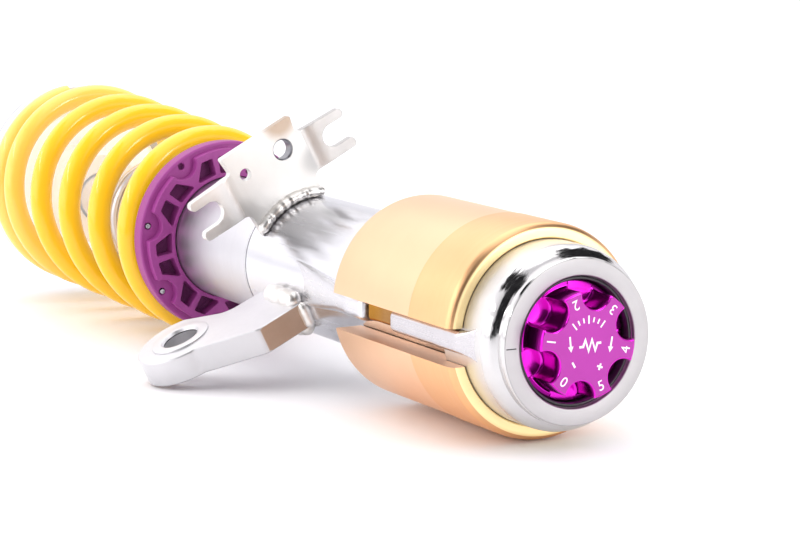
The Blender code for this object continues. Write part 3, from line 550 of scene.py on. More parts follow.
def scalloped(rim_r, bite_at, bite_r, count, first, corner, bite_steps, rim_steps):
    """A circle with round bites around its rim, the first one centred at a clock angle."""
    opening = acos((bite_at ** 2 + rim_r ** 2 - bite_r ** 2) / (2.0 * bite_at * rim_r))
    spacing = tau / count
    points = []
    for index in range(count):
        clock = first + index * spacing
        centre = polar(bite_at, clock)
        edge = polar(rim_r, clock - opening) - centre
        start = atan2(edge.y, edge.x)
        half = (atan2(-centre.y, -centre.x) - start + pi) % tau - pi
        points.append(cornered(rim_r, clock - opening, corner))
        for k in range(1, bite_steps):
            angle = start + 2.0 * half * k / bite_steps
            points.append((centre.x + bite_r * cos(angle), centre.y + bite_r * sin(angle), 0.0))
        points.append(cornered(rim_r, clock + opening, corner))
        for k in range(1, rim_steps):
            points.append(cornered(rim_r, clock + opening + (spacing - 2.0 * opening) * k / rim_steps))
    return points


# ---- lower end: cap, liner and index mark -----------------------------------------------
CAP_R = radius_of("end_cap")
CAP_FACE_R = 26.6
POCKET_R = 20.7
CAP_END = 32.0
SHOULDER_R, SHOULDER_END = 6.0, 9.0
POCKET_END, SPINDLE_HOLE_R = 16.0, 5.3


def cap_lumps(radius, z, angle):
    """The hand-blended shoulder is slightly uneven."""
    if radius < CAP_FACE_R + 0.2 or z > 24.0:
        return 0.0
    place = Vector((3.2 * cos(angle), 3.2 * sin(angle), z * 0.10))
    return 0.10 * noise.noise(place * 2.0) - 0.04


shoulder = arc((CAP_R - SHOULDER_R, SHOULDER_END), SHOULDER_R, 0.0, -62.0, 14)
cap = lathe("cap_shell", [
    (22.3, CAP_END + 10.0, 0.3), (22.3, CAP_END, 0.0), (CAP_R, CAP_END, 0.4)] + shoulder + [
    (CAP_FACE_R + 0.25, 0.75, 0.2), (CAP_FACE_R - 0.2, 0.0, 0.35), (POCKET_R + 0.3, 0.0, 0.5),
    (POCKET_R + 0.3, 1.2, 0.1), (POCKET_R, 1.6, 0.1), (POCKET_R, POCKET_END, 0.4),
    (SPINDLE_HOLE_R, POCKET_END, 0.2), (SPINDLE_HOLE_R, CAP_END + 10.0, 0.2)],
    segments=192, lump=cap_lumps)


def cap_zone(at):
    """The flat ring face and the pocket are turned, and the skirt is duller than the shoulder."""
    if at.z < 0.4 or at.to_2d().length < POCKET_R + 0.5:
        return 1
    return 2 if at.z > SHOULDER_END else 0


paint(cap, cap_zone, CAP_STEEL, FACE_STEEL, SKIRT_STEEL)
own(cap, "strut", None, "stainless_steel", "end_cap")

corners = [(r, side, 0.15) for r, side in ((22.3, -0.19), (25.9, -0.19), (25.9, 0.19), (22.3, 0.19))]
mark = plate("index_mark", [corners], -0.06, 0.30, edge=0.05, basis=clock_basis(0.0))
own(mark, "strut", BLACK_INK, "black_rubber")

liner_start, liner_end = span("bore_liner")
outer, inner, front = POCKET_R - 0.15, 19.6, liner_start + 0.5
liner = lathe("bore_seal", [(outer, front, 0.4), (outer, liner_end, 0.3), (inner, liner_end, 0.3),
                            (inner, front, 0.4)], steps=6)
own(liner, "strut", RUBBER, "black_rubber", "bore_liner")

# ---- bump adjuster knob -----------------------------------------------------------------
LOBES = 6
LOBE_R = 17.2
FLUTE_AT = 16.6
FIRST_LOBE = radians(10.0)
knob_start, knob_end = span("bump_knob")
FLANGE_R = radius_of("bump_knob")
FLANGE_FACE = 4.0


def knob_outline(flute_r, lobe_r, z):
    """The knob's lobed outline at one level, with the same points at every level."""
    points = scalloped(lobe_r, FLUTE_AT, flute_r, LOBES, FIRST_LOBE + pi / LOBES, 0.45, 18, 9)
    return [Vector((x, y, z)) for x, y in fillet(points, 3)]


FLUTE_R = 5.3
BASE_FILLET = 1.1
layers = [knob_outline(FLUTE_R + inset, LOBE_R - inset, knob_start + level)
          for inset, level in ((0.45, 0.0), (0.18, 0.10), (0.0, 0.45), (0.0, 3.45), (0.0, 6.45))]
for k in range(7):
    angle = radians(90.0 * k / 6.0)
    lift = BASE_FILLET * (1.0 - cos(angle))
    level = FLANGE_FACE - BASE_FILLET + BASE_FILLET * sin(angle)
    layers.append(knob_outline(FLUTE_R - lift, LOBE_R + lift * 0.6, level))
around = [atan2(-point.x, point.y) for point in layers[-1]]
for radius, level in ((FLANGE_R - 0.5, FLANGE_FACE), (FLANGE_R - 0.15, FLANGE_FACE + 0.15),
                      (FLANGE_R, FLANGE_FACE + 0.5), (FLANGE_R, knob_end - 0.4),
                      (FLANGE_R - 0.4, knob_end)):
    layers.append([polar(radius, clock, level) for clock in around])
knob = loft("knob_grip", layers)


def knob_zone(at):
    """The face is duller than the flutes, and the flange is painted dark, as painted shade in the pocket.
    """
    if at.z < knob_start + 0.02:
        return 1
    return 2 if at.to_2d().length > LOBE_R + 0.6 else 0


paint(knob, knob_zone, KNOB_SIDE, KNOB_FACE, KNOB_FLANGE_SHADE)
for polygon in knob.data.polygons:
    polygon.use_smooth = polygon.material_index != 1
own(knob, "bump_adjuster", None, "purple_anodised", "bump_knob")


def place_on_face(mesh, at, top):
    """Stand a flat mesh on the knob's face, with its +Y towards top."""
    normal = Vector((0.0, 0.0, -1.0))
    up = Vector(top).normalized()
    turn = Matrix((up.cross(normal), up, normal)).transposed().to_4x4()
    mesh.transform(Matrix.Translation(Vector((at.x, at.y, knob_start - 0.02))) @ turn)
    return mesh


def face_text(text, height, at, top):
    """A generic mark as a thin raised mesh on the knob's face: at and top are in the face."""
    curve = bpy.data.curves.new("mark_" + text, 'FONT')
    curve.body = text
    curve.size = height
    curve.align_x = 'CENTER'
    curve.align_y = 'CENTER'
    curve.extrude = MARK_HALF
    curve.resolution_u = 4
    return place_on_face(curve_mesh(curve), at, top)


def flat_mark(outline, at, top):
    """A small flat symbol from an outline of (x, y) points."""
    work = bmesh.new()
    capped(work, [[(x, y, z) for x, y in outline] for z in (-MARK_HALF, MARK_HALF)])
    return place_on_face(mesh_of("symbol", work), at, top)


def thick_line(points, half):
    """The outline of a line with mitred corners."""
    sides = ([], [])
    for i, point in enumerate(points):
        here = Vector(point)
        back = (here - Vector(points[max(i - 1, 0)])).normalized()
        ahead = (Vector(points[min(i + 1, len(points) - 1)]) - here).normalized()
        along = (back + ahead).normalized()
        across = Vector((-along.y, along.x))
        known = ahead if ahead.length > 0.5 else back
        reach = half / max(0.45, across.dot(Vector((-known.y, known.x))))
        sides[0].append(tuple(here + across * reach))
        sides[1].append(tuple(here - across * reach))
    return sides[0] + sides[1][::-1]


UP = polar(1.0, radians(90.0))
RIGHT = polar(1.0, radians(180.0))
DIGIT_AT = 14.0
DIGIT_HEIGHT = 4.7
MARK_HALF = 0.05
marks = []
for digit in range(LOBES):
    clock = FIRST_LOBE + (digit - 1) * tau / LOBES
    marks.append(face_text(str(digit), DIGIT_HEIGHT, polar(DIGIT_AT, clock), -polar(1.0, clock)))
ARROW = [(-0.28, 2.6), (0.28, 2.6), (0.28, -0.6), (0.95, -0.6), (0.0, -2.4), (-0.95, -0.6), (-0.28, -0.6)]
MINUS = [(-1.0, 0.33), (-1.0, -0.33), (1.0, -0.33), (1.0, 0.33)]
PLUS = [(-0.3, 1.05), (-0.3, 0.3), (-1.05, 0.3), (-1.05, -0.3), (-0.3, -0.3), (-0.3, -1.05),
        (0.3, -1.05), (0.3, -0.3), (1.05, -0.3), (1.05, 0.3), (0.3, 0.3), (0.3, 1.05)]
marks.append(flat_mark(ARROW, RIGHT * -6.6 + UP * 0.8, UP + RIGHT * -0.10))
marks.append(flat_mark(ARROW, RIGHT * 8.2 + UP * -0.4, UP + RIGHT * 0.18))
marks.append(flat_mark(MINUS, RIGHT * -5.4 + UP * -5.6, UP * 0.5 + RIGHT * 0.85))
marks.append(flat_mark(PLUS, RIGHT * 4.2 + UP * -7.0, UP + RIGHT * 0.35))
# A plain zigzag, the sign for a spring, in the middle, and graduation ticks above it.
zigzag = [(-4.0, -0.4), (-2.6, -0.4), (-1.8, 1.7), (-0.6, -1.9), (0.6, 1.7), (1.8, -1.9),
          (2.6, 0.4), (4.0, 0.4)]
marks.append(flat_mark(thick_line(zigzag, 0.36), RIGHT * 0.6 + UP * 0.2, UP))
for tick in range(-3, 4):
    clock = radians(90.0 + 13.0 * tick)
    out = polar(1.0, clock)
    length = 1.3 if tick % 3 == 0 else 0.8
    bar = [(-0.24, length), (-0.24, -length), (0.24, -length), (0.24, length)]
    marks.append(flat_mark(bar, out * 8.2, out))

work = bmesh.new()
for mesh in marks:
    work.from_mesh(mesh)
    bpy.data.meshes.remove(mesh)
dial_marks = finished("dial_marks", work, 30.0)
own(dial_marks, "bump_adjuster", WHITE_INK, "purple_anodised")

# ---- gold sleeve, rib and tab -----------------------------------------------------------
SLOT_TOP, SLOT_BOTTOM = 3.9, -8.4
sleeve_start, sleeve_end = span("clamp_sleeve")
SLEEVE_R = 35.0
SLEEVE_STEP, STEP_HIGH = 46.0, 0.22
MOUTH_R, SLEEVE_BORE_R = 30.15, 25.35


def slotted(name, profile, low, high, segments=SMOOTH):
    """Turn an outline around the axis, leaving a slot between two levels on the +Y side."""
    outline = fillet(profile, 4)
    rows = []
    for i in range(segments + 1):
        row = []
        for radius, z in outline:
            first = asin(high / radius)
            last = tau + asin(low / radius)
            row.append(polar(radius, first + (last - first) * i / segments, z))
        rows.append(row)
    return loft(name, rows)


mouth = CAP_END + 0.3
LIP_ACROSS, LIP_DEEP = 2.5, 3.2
front_edge = []
for k in range(13):
    angle = radians(7.5 * k)
    front_edge.append((SLEEVE_R + STEP_HIGH - LIP_ACROSS * (1.0 - cos(angle)),
                       sleeve_start + LIP_DEEP * (1.0 - sin(angle)), 0.0))
sleeve = slotted("gold_sleeve", [
    (SLEEVE_R, sleeve_end, 0.8), (SLEEVE_R, SLEEVE_STEP + 0.5, 0.15),
    (SLEEVE_R + STEP_HIGH, SLEEVE_STEP, 0.15)] + front_edge + [
    (MOUTH_R + 0.5, sleeve_start, 0.0), (MOUTH_R, sleeve_start + 0.5, 0.2), (MOUTH_R, mouth, 0.0),
    (SLEEVE_BORE_R, mouth, 0.0), (SLEEVE_BORE_R, sleeve_end, 0.5)], SLOT_BOTTOM, SLOT_TOP, 176)


def sleeve_zone(at):
    """The front length is deeper in colour, and its flat rim is a paler painted highlight that glows a
    little.
    """
    if at.z >= SLEEVE_STEP:
        return 0
    return 1 if at.z > sleeve_start + 0.25 else 2


paint(sleeve, sleeve_zone, GOLD, GOLD_FRONT, GOLD_RIM_GLOW)
own(sleeve, "strut", None, "gold_anodised", "clamp_sleeve")

RIB_START, RIB_TOP, RIB_BOTTOM = 8.5, 3.4, -4.0
RIB_ROOT_R, RIB_OUTER = 29.2, 33.0
NOTCH_START, NOTCH_FLOOR, RIB_END = 62.5, 80.5, 83.5
NOTCH_R, CREST_R, CREST_RUN = 28.0, 1.4, 1.6


def smooth(share):
    """Ease a share in and out between 0 and 1."""
    share = min(1.0, max(0.0, share))
    return share * share * (3.0 - 2.0 * share)


def rib_height(z):
    """Radius of the rib's outer face: a ramp out of the cap, the rib, then the notch."""
    if z < 22.0:
        return RIB_ROOT_R + (RIB_OUTER - RIB_ROOT_R) * smooth((z - RIB_START) / 12.0)
    if z < NOTCH_START:
        edge = max(0.0, z - (NOTCH_START - CREST_RUN)) / CREST_RUN
        return RIB_OUTER - CREST_R * (1.0 - sqrt(max(0.0, 1.0 - edge * edge)))
    if z < NOTCH_START + 3.0:
        share = (z - NOTCH_START) / 3.0
        return RIB_OUTER - CREST_R - (RIB_OUTER - CREST_R - NOTCH_R) * sin(share * pi / 2.0)
    return NOTCH_R + 1.2 * max(0.0, z - NOTCH_FLOOR) / (RIB_END - NOTCH_FLOOR)


def bar_section(z, low, high, foot, top, corner):
    """A bar's cross-section between two levels and two radii, with rounded outer corners."""
    corner = min(corner, 0.9 * (top - foot))
    outline = fillet([(low, foot, 0.0), (low, top, corner), (high, top, corner), (high, foot, 0.0)], 6)
    return [Vector((-across, out, z)) for across, out in outline]


def rib_section(z):
    """A cross-section of the rib, flared where it runs into the cap."""
    flare = max(0.0, 1.0 - (z - RIB_START) / 11.0)
    spread = 3.5 * flare * flare
    top = rib_height(z)
    foot = min(29.0 if z < mouth else 25.4, top - 0.6)
    section = bar_section(z, RIB_BOTTOM - spread, RIB_TOP + spread, foot, top, 2.3 + flare)
    for point in section:
        point.y -= flare * point.x ** 2 / (2.0 * CAP_R)
    return section


stations = [RIB_START + 0.75 * k for k in range(19)] + [24.0 + 3.4 * k for k in range(11)]
stations += [NOTCH_START - CREST_RUN + 0.2 * k for k in range(8)]
stations += [NOTCH_START + 0.3 * k for k in range(11)]
stations += [NOTCH_START + 6.0, NOTCH_START + 12.0, NOTCH_FLOOR, (NOTCH_FLOOR + RIB_END) / 2.0, RIB_END]
stations = sorted(set(round(z, 3) for z in stations))
rib = loft("rib_bar", [rib_section(z) for z in stations], sharp=40.0)
# Past the notch's start the rib is painted brown, as a painted reflection of the gold sleeve.
paint(rib, lambda at: at.z > NOTCH_START + 1.2, RIB_STEEL, NOTCH_REFLECTION)
own(rib, "strut", None, "stainless_steel", "locating_rib")

tab_start, tab_end = span("locating_tab")
TAB_FOOT, TAIL_START = 24.0, 97.0
TAB_NOSE = tab_start + 1.5
TAB_CREST = [(TAB_NOSE, 28.7), (TAB_NOSE + 0.5, 29.8), (TAB_NOSE + 1.8, 30.5), (99.0, 30.4),
             (107.0, 29.4), (125.0, 27.2), (tab_end, 24.9)]


def tab_section(z):
    """The tab sinks into the tube and spreads over its curve towards the far end."""
    share = smooth((z - TAIL_START) / (tab_end - TAIL_START))
    for (start, low), (end, high) in zip(TAB_CREST, TAB_CREST[1:]):
        if start <= z <= end:
            crest = low + (high - low) * (z - start) / (end - start)
    section = bar_section(z, -4.7 - 3.6 * share, RIB_TOP + 4.0 * share, TAB_FOOT, crest,
                          2.3 + 2.5 * share)
    for point in section:
        point.y -= share * point.x ** 2 / (2.0 * TAB_FOOT)
    return section


stations = [TAB_NOSE + 0.25 * k for k in range(8)]
stations += [TAB_NOSE + 2.0 + (tab_end - TAB_NOSE - 2.0) * k / 40.0 for k in range(41)]
tab = loft("tab_bar", [tab_section(min(z, tab_end)) for z in stations], sharp=40.0)
own(tab, "strut", TAB_STEEL, "stainless_steel", "locating_tab")

# ---- damper tube and thread -------------------------------------------------------------
tube_start, tube_end = span("outer_tube")
TUBE_R = radius_of("outer_tube")
TUBE_UPPER_R = radius_of("gland_nut")
TUBE_LIP = 189.7
THREAD_START = 256.0
THREAD_ROOT_R = TUBE_UPPER_R - 0.75
PITCH = 4.0
GROOVE_START, GROOVE_END = TUBE_LIP - 1.9, TUBE_LIP - 1.0
tube = lathe("damper_tube", [
    (TUBE_R, tube_start, 0.2), (TUBE_R, GROOVE_START, 0.0), (TUBE_R - 0.3, GROOVE_START + 0.3, 0.1),
    (TUBE_R - 0.3, GROOVE_END - 0.3, 0.1), (TUBE_R, GROOVE_END, 0.1), (TUBE_R, TUBE_LIP, 0.5),
    (TUBE_R - 0.95, TUBE_LIP + 0.1, 0.15),
    (TUBE_R - 1.25, TUBE_LIP + 0.9, 0.2), (TUBE_UPPER_R, TUBE_LIP + 1.3, 0.3),
    (TUBE_UPPER_R, THREAD_START, 0.2), (THREAD_ROOT_R, THREAD_START + 1.0, 0.3),
    (THREAD_ROOT_R, tube_end - 2.5, 0.3), (TUBE_UPPER_R - 0.2, tube_end - 1.6, 0.2),
    (TUBE_UPPER_R - 0.2, tube_end, 0.3), (22.6, tube_end, 0.3), (22.6, tube_start, 0.3)])


def tube_zone(at):
    """Past the lip the tube is duller, and the groove and the step behind the lip are painted dark, as
    painted shade.
    """
    if at.z > TUBE_LIP + 1.1:
        return 1
    if at.z > TUBE_LIP + 0.2:
        return 2
    return 3 if GROOVE_START < at.z < GROOVE_END else 0


paint(tube, tube_zone, TUBE_STEEL, THREAD_STEEL, BORE_SHADE, SHADE_STEEL)
own(tube, "strut", None, "stainless_steel", "outer_tube")

turns = (tube_end - 3.0 - THREAD_START) / PITCH
per_turn = 72
path = []
for i in range(int(turns * per_turn) + 1):
    path.append(polar(THREAD_ROOT_R, tau * i / per_turn, THREAD_START + PITCH * i / per_turn))
RIDGE = [(-0.3, -1.35), (0.05, -1.25), (0.72, -0.85), (0.78, -0.75), (0.78, 0.75), (0.72, 0.85),
         (0.05, 1.25), (-0.3, 1.35)]


def ridge_section(i):
    """The trapezoidal ridge, run out at both ends."""
    fade = min(1.0, min(i, len(path) - 1 - i) / (per_turn / 3.0))
    return [(a * fade - 0.3 * (1.0 - fade), b) for a, b in RIDGE]


thread = sweep("tube_thread", path, ridge_section, sharp=25.0)
own(thread, "strut", THREAD_STEEL, "stainless_steel")

# ---- hose bracket -----------------------------------------------------------------------
HOSE_CLOCK = radians(62.0)
HOSE_PLATE = 178.0
HOSE_THICK = 3.0
HOSE_TOP, HOSE_HALF = 54.5, 15.8
WING_LOW, WING_HIGH, WING_TIP = 30.5, 47.4, 34.6
SLOT_AT, SLOT_HALF, SLOT_END = 39.1, 4.3, 27.6
HOSE_HOLE = (44.8, 7.6)
HOSE_PILOT = (44.6, -9.7)
WING_BEND = radians(3.0)
FOOT_R, FOOT_HALF = TUBE_R + 0.3, 34.0


def wing(sign):
    """One fork wing's outline, from the plate's side round to the plate's side."""
    tine = 1.9
    low, high = SLOT_AT - SLOT_HALF, SLOT_AT + SLOT_HALF
    root = HOSE_HALF - 1.0
    points = [(WING_LOW, root, 2.5), (low - 2.0 * tine, WING_TIP, 1.75), (low, WING_TIP, 1.75)]
    points += arc((SLOT_AT, SLOT_END), SLOT_HALF, 180.0, 360.0, 14)
    points += [(high, WING_TIP, 1.75), (high + 2.0 * tine - 0.3, WING_TIP, 1.75), (WING_HIGH, root, 1.2)]
    return [(x, sign * y, corner) for x, y, corner in points]


def bend_wings(point):
    """Turn the wings back a little, behind a soft crease beside the plate."""
    beyond = abs(point.y) - (HOSE_HALF - 2.0)
    if beyond <= 0.0:
        return point
    crease = 0.35 * exp(-((beyond - 4.2) / 2.6) ** 2)
    return Vector((point.x, point.y, point.z - beyond * tan(WING_BEND) + crease))


foot = arc((0.0, 0.0), FOOT_R, -FOOT_HALF, FOOT_HALF, 24)
outline = foot + wing(1.0)
outline += [(HOSE_TOP, HOSE_HALF, 0.8), (HOSE_TOP, -HOSE_HALF, 0.8)]
outline += list(reversed(wing(-1.0)))
holes = [circle(HOSE_HOLE, 4.0, 40), circle(HOSE_PILOT, 2.2, 28)]
cuts = [sign * (HOSE_HALF - 2.0 + step * 0.6) for sign in (1.0, -1.0) for step in range(18)]
on_bracket = clock_basis(HOSE_CLOCK)
hose = plate("hose_plate", [outline] + holes, HOSE_PLATE, HOSE_PLATE + HOSE_THICK, edge=0.2,
             basis=on_bracket, bend=bend_wings, cuts=cuts)


# One wing is painted lighter and the other darker, as painted light and shade on the plate's sheet.
def hose_zone(at):
    across = (on_bracket.inverted() @ at).y
    if abs(across) <= HOSE_HALF + 1.0:
        return 0
    return 2 if across > 0.0 else 1


paint(hose, hose_zone, BRACKET_STEEL, WING_LIT, WING_SHADE)
# A painted tan reflection on the top corner, and painted shade where each wing leaves the plate.
TAN_REFLECTION, SHADE = (0.40, 0.29, 0.205), (0.36, 0.355, 0.35)
for out, across, near, far, colour, share in ((55.5, 11.0, 4.0, 9.5, TAN_REFLECTION, 0.9),
                                              (35.0, 17.0, 2.0, 8.0, SHADE, 0.7),
                                              (31.0, -17.0, 2.0, 9.0, SHADE, 0.6)):
    place = on_bracket @ Vector((out, across, HOSE_PLATE))
    fade_around(BRACKET_STEEL, place, near, far, colour, share)
own(hose, "strut", None, "zinc_plate", "hose_bracket")

WELD_R = 2.1
bead_r = TUBE_R + 0.3 + WELD_R
BEAD_HALF, BEAD_STEPS = 33.0, 110
path = []
for k in range(BEAD_STEPS + 1):
    clock = HOSE_CLOCK + radians(BEAD_HALF * (2.0 * k / BEAD_STEPS - 1.0))
    path.append(polar(bead_r - 0.3, clock, HOSE_PLATE - 0.6))
bead = weld("hose_bead", path, WELD_R, 3.0)
own(bead, "strut", WELD_STEEL, "zinc_plate")

nut = lathe("clip_nut", [
    (4.0, HOSE_PLATE + 0.15, 0.1), (5.3, HOSE_PLATE + 2.0, 0.3), (5.3, HOSE_PLATE + 5.2, 0.5),
    (3.5, HOSE_PLATE + 5.2, 0.4), (3.5, HOSE_PLATE + 0.7, 0.5)], segments=48)
nut.data.transform(on_bracket @ Matrix.Translation(Vector((*HOSE_HOLE, 0.0)) * MM))
# The clip nut is painted dark, as painted shade in the bracket's hole.
own(nut, "strut", SHADE_STEEL, "zinc_plate")

# ---- link bracket -----------------------------------------------------------------------
LINK_CLOCK = radians(-26.0)
LINK_HALF = 5.0
EYE = (175.0, 61.5)
EYE_R, EYE_HOLE_R, BOSS_R = 17.0, 6.5, 11.0
ROOT_START, ROOT_END = 141.5, 172.0
ROOT_R, NECK_R = TUBE_R + 0.3, 45.0
basis = radial_basis(LINK_CLOCK)
outline = [(ROOT_START, ROOT_R, 0.0), (ROOT_END, ROOT_R, 0.0), (ROOT_END + 1.0, NECK_R - 3.0, 8.0)]
outline += arc(EYE, EYE_R, -32.0, 172.0, 40) + [(ROOT_START, NECK_R, 4.0)]
arm = plate("link_arm", [outline, circle(EYE, EYE_HOLE_R, 48)], -LINK_HALF, LINK_HALF, edge=0.7,
            basis=basis, steps=8)
# The arm's end face is painted tan, as a painted reflection.
paint(arm, lambda at: at.z < ROOT_START + 0.05, ARM_STEEL, ARM_END_REFLECTION)
own(arm, "strut", None, "zinc_plate", "link_bracket")
BOSS_HALF = LINK_HALF + 0.6
boss = lathe("link_boss", [
    (BOSS_R, -BOSS_HALF, 0.3), (BOSS_R, BOSS_HALF, 0.3), (EYE_HOLE_R + 0.9, BOSS_HALF, 0.2),
    (EYE_HOLE_R, LINK_HALF - 0.4, 0.3), (EYE_HOLE_R, -LINK_HALF + 0.4, 0.3),
    (EYE_HOLE_R + 0.9, -BOSS_HALF, 0.2)], segments=96)
# The boss's bore is painted near black, as painted shade in the hole.
paint(boss, lambda at: at.to_2d().length < EYE_HOLE_R + 0.3, ARM_STEEL, BORE_SHADE)
boss.data.transform(basis @ Matrix.Translation(Vector((*EYE, 0.0)) * MM))
own(boss, "strut", None, "zinc_plate")
for sign, name, seed in ((1.0, "link_bead_upper", 11.0), (-1.0, "link_bead_lower", 17.0)):
    level = sign * (LINK_HALF + 0.2)
    out = sqrt((TUBE_R + 0.2 + WELD_R) ** 2 - level ** 2)
    path = [basis @ Vector((z, out, level)) for z in (ROOT_START + 1.0, ROOT_END - 6.0)]
    own(weld(name, path, WELD_R * 1.7, seed, pitch=8.0), "strut", WELD_STEEL, "zinc_plate")
path = [basis @ Vector((ROOT_START + 0.2, TUBE_R + 1.2, level)) for level in (-LINK_HALF, 0.0, LINK_HALF)]
own(weld("link_bead_front", path, WELD_R * 1.1, 23.0, pitch=6.0), "strut", WELD_STEEL, "zinc_plate")

# ---- spring collar ----------------------------------------------------------------------
SCALLOPS = 8
SPACING = tau / SCALLOPS
FIRST_SCALLOP = radians(10.3)
collar_start, collar_end = span("spring_collar")
COLLAR_R = radius_of("spring_collar")
RING_FACE, WEB = 257.0, 258.8
HUB_R, COLLAR_BORE = 35.3, 24.3
SCALLOP_AT, SCALLOP_R = 36.2, 5.8
SCREW_AT = 35.0


def pocket_outlines(grow):
    """Two tapered pockets between each pair of scallops, grown by a margin."""
    outlines = []
    for index in range(SCALLOPS):
        middle = FIRST_SCALLOP + (index + 0.5) * SPACING
        for side in (-1.0, 1.0):
            inner, outer = 26.0 - grow, 32.6 + grow
            spread = degrees(grow / 29.0)
            corners = [(inner, 2.2 - spread), (inner, 20.4 + spread), (outer, 10.8 + spread),
                       (outer, 2.3 - spread)]
            outlines.append([cornered(r, middle + side * radians(a), 0.6) for r, a in corners])
    return outlines


bore = circle((0.0, 0.0), COLLAR_BORE, 96)
# The hub's rim is a circle with a rounded scallop at each screw.
hub_rim = scalloped(HUB_R, SCALLOP_AT, SCALLOP_R, SCALLOPS, FIRST_SCALLOP, 0.7, 14, 8)
hub = plate("collar_hub", [hub_rim, bore] + pocket_outlines(0.0), collar_start, WEB + 0.3, edge=0.3)
own(hub, "collar", COLLAR_FACE, "purple_composite", "spring_collar")
outlines = [circle((0.0, 0.0), 36.5, 144), circle((0.0, 0.0), COLLAR_BORE + 0.6, 96)]
outlines += pocket_outlines(0.35)
for k in range(SCALLOPS):
    outlines.append(circle(polar(SCREW_AT, FIRST_SCALLOP + k * SPACING).to_2d(), 1.4, 24))
step = plate("collar_step", outlines, RING_FACE, WEB + 0.2, edge=0.15)
own(step, "collar", COLLAR_FACE, "purple_composite")
rim = lathe("collar_rim", [
    (COLLAR_R, collar_end, 0.4), (COLLAR_R, RING_FACE, 2.4), (36.2, RING_FACE, 0.1), (36.2, WEB, 0.2),
    (COLLAR_BORE, WEB, 0.2), (COLLAR_BORE, collar_end, 0.4)])
paint(rim, lambda at: abs(at.z - WEB) < 0.05, COLLAR_FACE, COLLAR_FLOOR)
own(rim, "collar", None, "purple_composite")
for letter, index in (("a", 0), ("b", 3), ("c", 4), ("d", 7)):
    node = "collar_screw_" + letter
    low, high = span(node)
    at = polar(SCREW_AT, FIRST_SCALLOP + index * SPACING)
    screw = lathe("screw_" + letter, [
        (0.95, low, 0.35), (0.95, high, 0.2), (0.0, high, 0.0), (0.0, low + 0.5, 0.0),
        (0.5, low + 0.5, 0.05), (0.55, low, 0.1)], segments=24, centre=(at.x, at.y))
    own(screw, "collar", THREAD_STEEL, "stainless_steel", node)

# ---- seat ring and spring ---------------------------------------------------------------
seat_start, seat_end = span("seat_ring")
seat = lathe("perch_ring", [
    (31.4, seat_end, 0.9), (31.4, seat_start + 0.8, 0.4), (37.2, seat_start + 0.8, 0.2),
    (37.2, seat_start, 0.2), (COLLAR_BORE, seat_start, 0.2), (COLLAR_BORE, seat_end, 0.4)])
own(seat, "perch", ZINC, "stainless_steel", "seat_ring")

WIRE_R = 4.9
spring_start, spring_end = span("main_spring")
SPRING_LOW, SPRING_HIGH = spring_start + WIRE_R, 407.2
FIRST_COIL, COIL_PITCH, END_PITCH = 269.2, 30.6, 10.3
START_TURN, END_TURN = -0.62, 5.22
LOW_R, HIGH_R = 36.8, 39.9
LEAN = 0.0358


def spring_level(turn):
    """The wire centre's level: a flat first coil, an even pitch, then a closing last coil."""
    soft = 1.5
    rising = FIRST_COIL + COIL_PITCH * turn
    level = SPRING_LOW + soft * log1p(exp((rising - SPRING_LOW) / soft))
    closing = SPRING_HIGH - END_PITCH * (END_TURN - turn)
    return closing - soft * log1p(exp((closing - level) / soft))


def spring_lean(level):
    """How far the coils' centre line has moved to row +Z at a level."""
    return LEAN * (level - collar_end - 0.3)


path = []
turns_total = END_TURN - START_TURN
samples = int(turns_total * 84)
for i in range(samples + 1):
    turn = START_TURN + turns_total * i / samples
    level = spring_level(turn)
    radius = LOW_R + (HIGH_R - LOW_R) * (level - SPRING_LOW) / (SPRING_HIGH - SPRING_LOW)
    path.append(polar(radius, tau * turn, level) + Vector((-spring_lean(level), 0.0, 0.0)))
WIRE_NEAR, WIRE_FAR, WIRE_SIDES = 4.8, 4.35, 28


def wire_section(i):
    """Round wire that thins a little upwards, with the cut ends' edges rounded over."""
    edge = min(i, len(path) - 1 - i)
    size = WIRE_NEAR + (WIRE_FAR - WIRE_NEAR) * i / len(path)
    size *= 1.0 if edge > 1 else (0.975 if edge == 1 else 0.93)
    angles = [tau * k / WIRE_SIDES for k in range(WIRE_SIDES)]
    return [(size * cos(angle), size * sin(angle)) for angle in angles]


spring = sweep("coil_spring", path, wire_section, sharp=50.0)
own(spring, "perch", YELLOW, "yellow_powder_coat", "main_spring")
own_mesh(spring)

# ---- upper seat, bearing and rod --------------------------------------------------------
ECCENTRIC = (-spring_lean(SPRING_HIGH), 0.0)
pad_start, pad_end = span("seat_pad")
pad = ring("spring_pad", 33.9, 41.5, pad_start, pad_end, corner=0.6, centre=ECCENTRIC)
own(pad, "top_mount", PAD_GREY, "black_rubber", "seat_pad")
spigot_start, plate_end = span("upper_seat")
plate_start = pad_end + 0.3
PLATE_R, SPIGOT_R = radius_of("upper_seat") - 2.4, 33.6
top_plate = lathe("top_plate", [
    (PLATE_R, plate_end, 0.9), (PLATE_R, plate_start, 0.6), (SPIGOT_R, plate_start, 0.5),
    (SPIGOT_R, spigot_start, 1.2), (SPIGOT_R - 2.5, spigot_start, 1.2), (SPIGOT_R - 2.5, plate_start, 0.8),
    (0.0, plate_start, 0.0), (0.0, plate_end, 0.0), (28.0, plate_end, 0.3), (28.6, plate_end - 0.5, 0.3),
    (30.4, plate_end - 0.5, 0.3), (31.0, plate_end, 0.3)], centre=ECCENTRIC)
tool = ring("rod_hole", 0.0, 11.6, plate_start - 5.0, plate_end + 5.0, corner=0.0, segments=64)
cut(top_plate, tool)
# The face towards the spring is painted white and glows a little, as painted light; the back is plain
# plating.
paint(top_plate, lambda at: at.z > plate_start + 0.7, SEAT_GLOW, SEAT_BACK)
own(top_plate, "top_mount", None, "zinc_plate", "upper_seat")

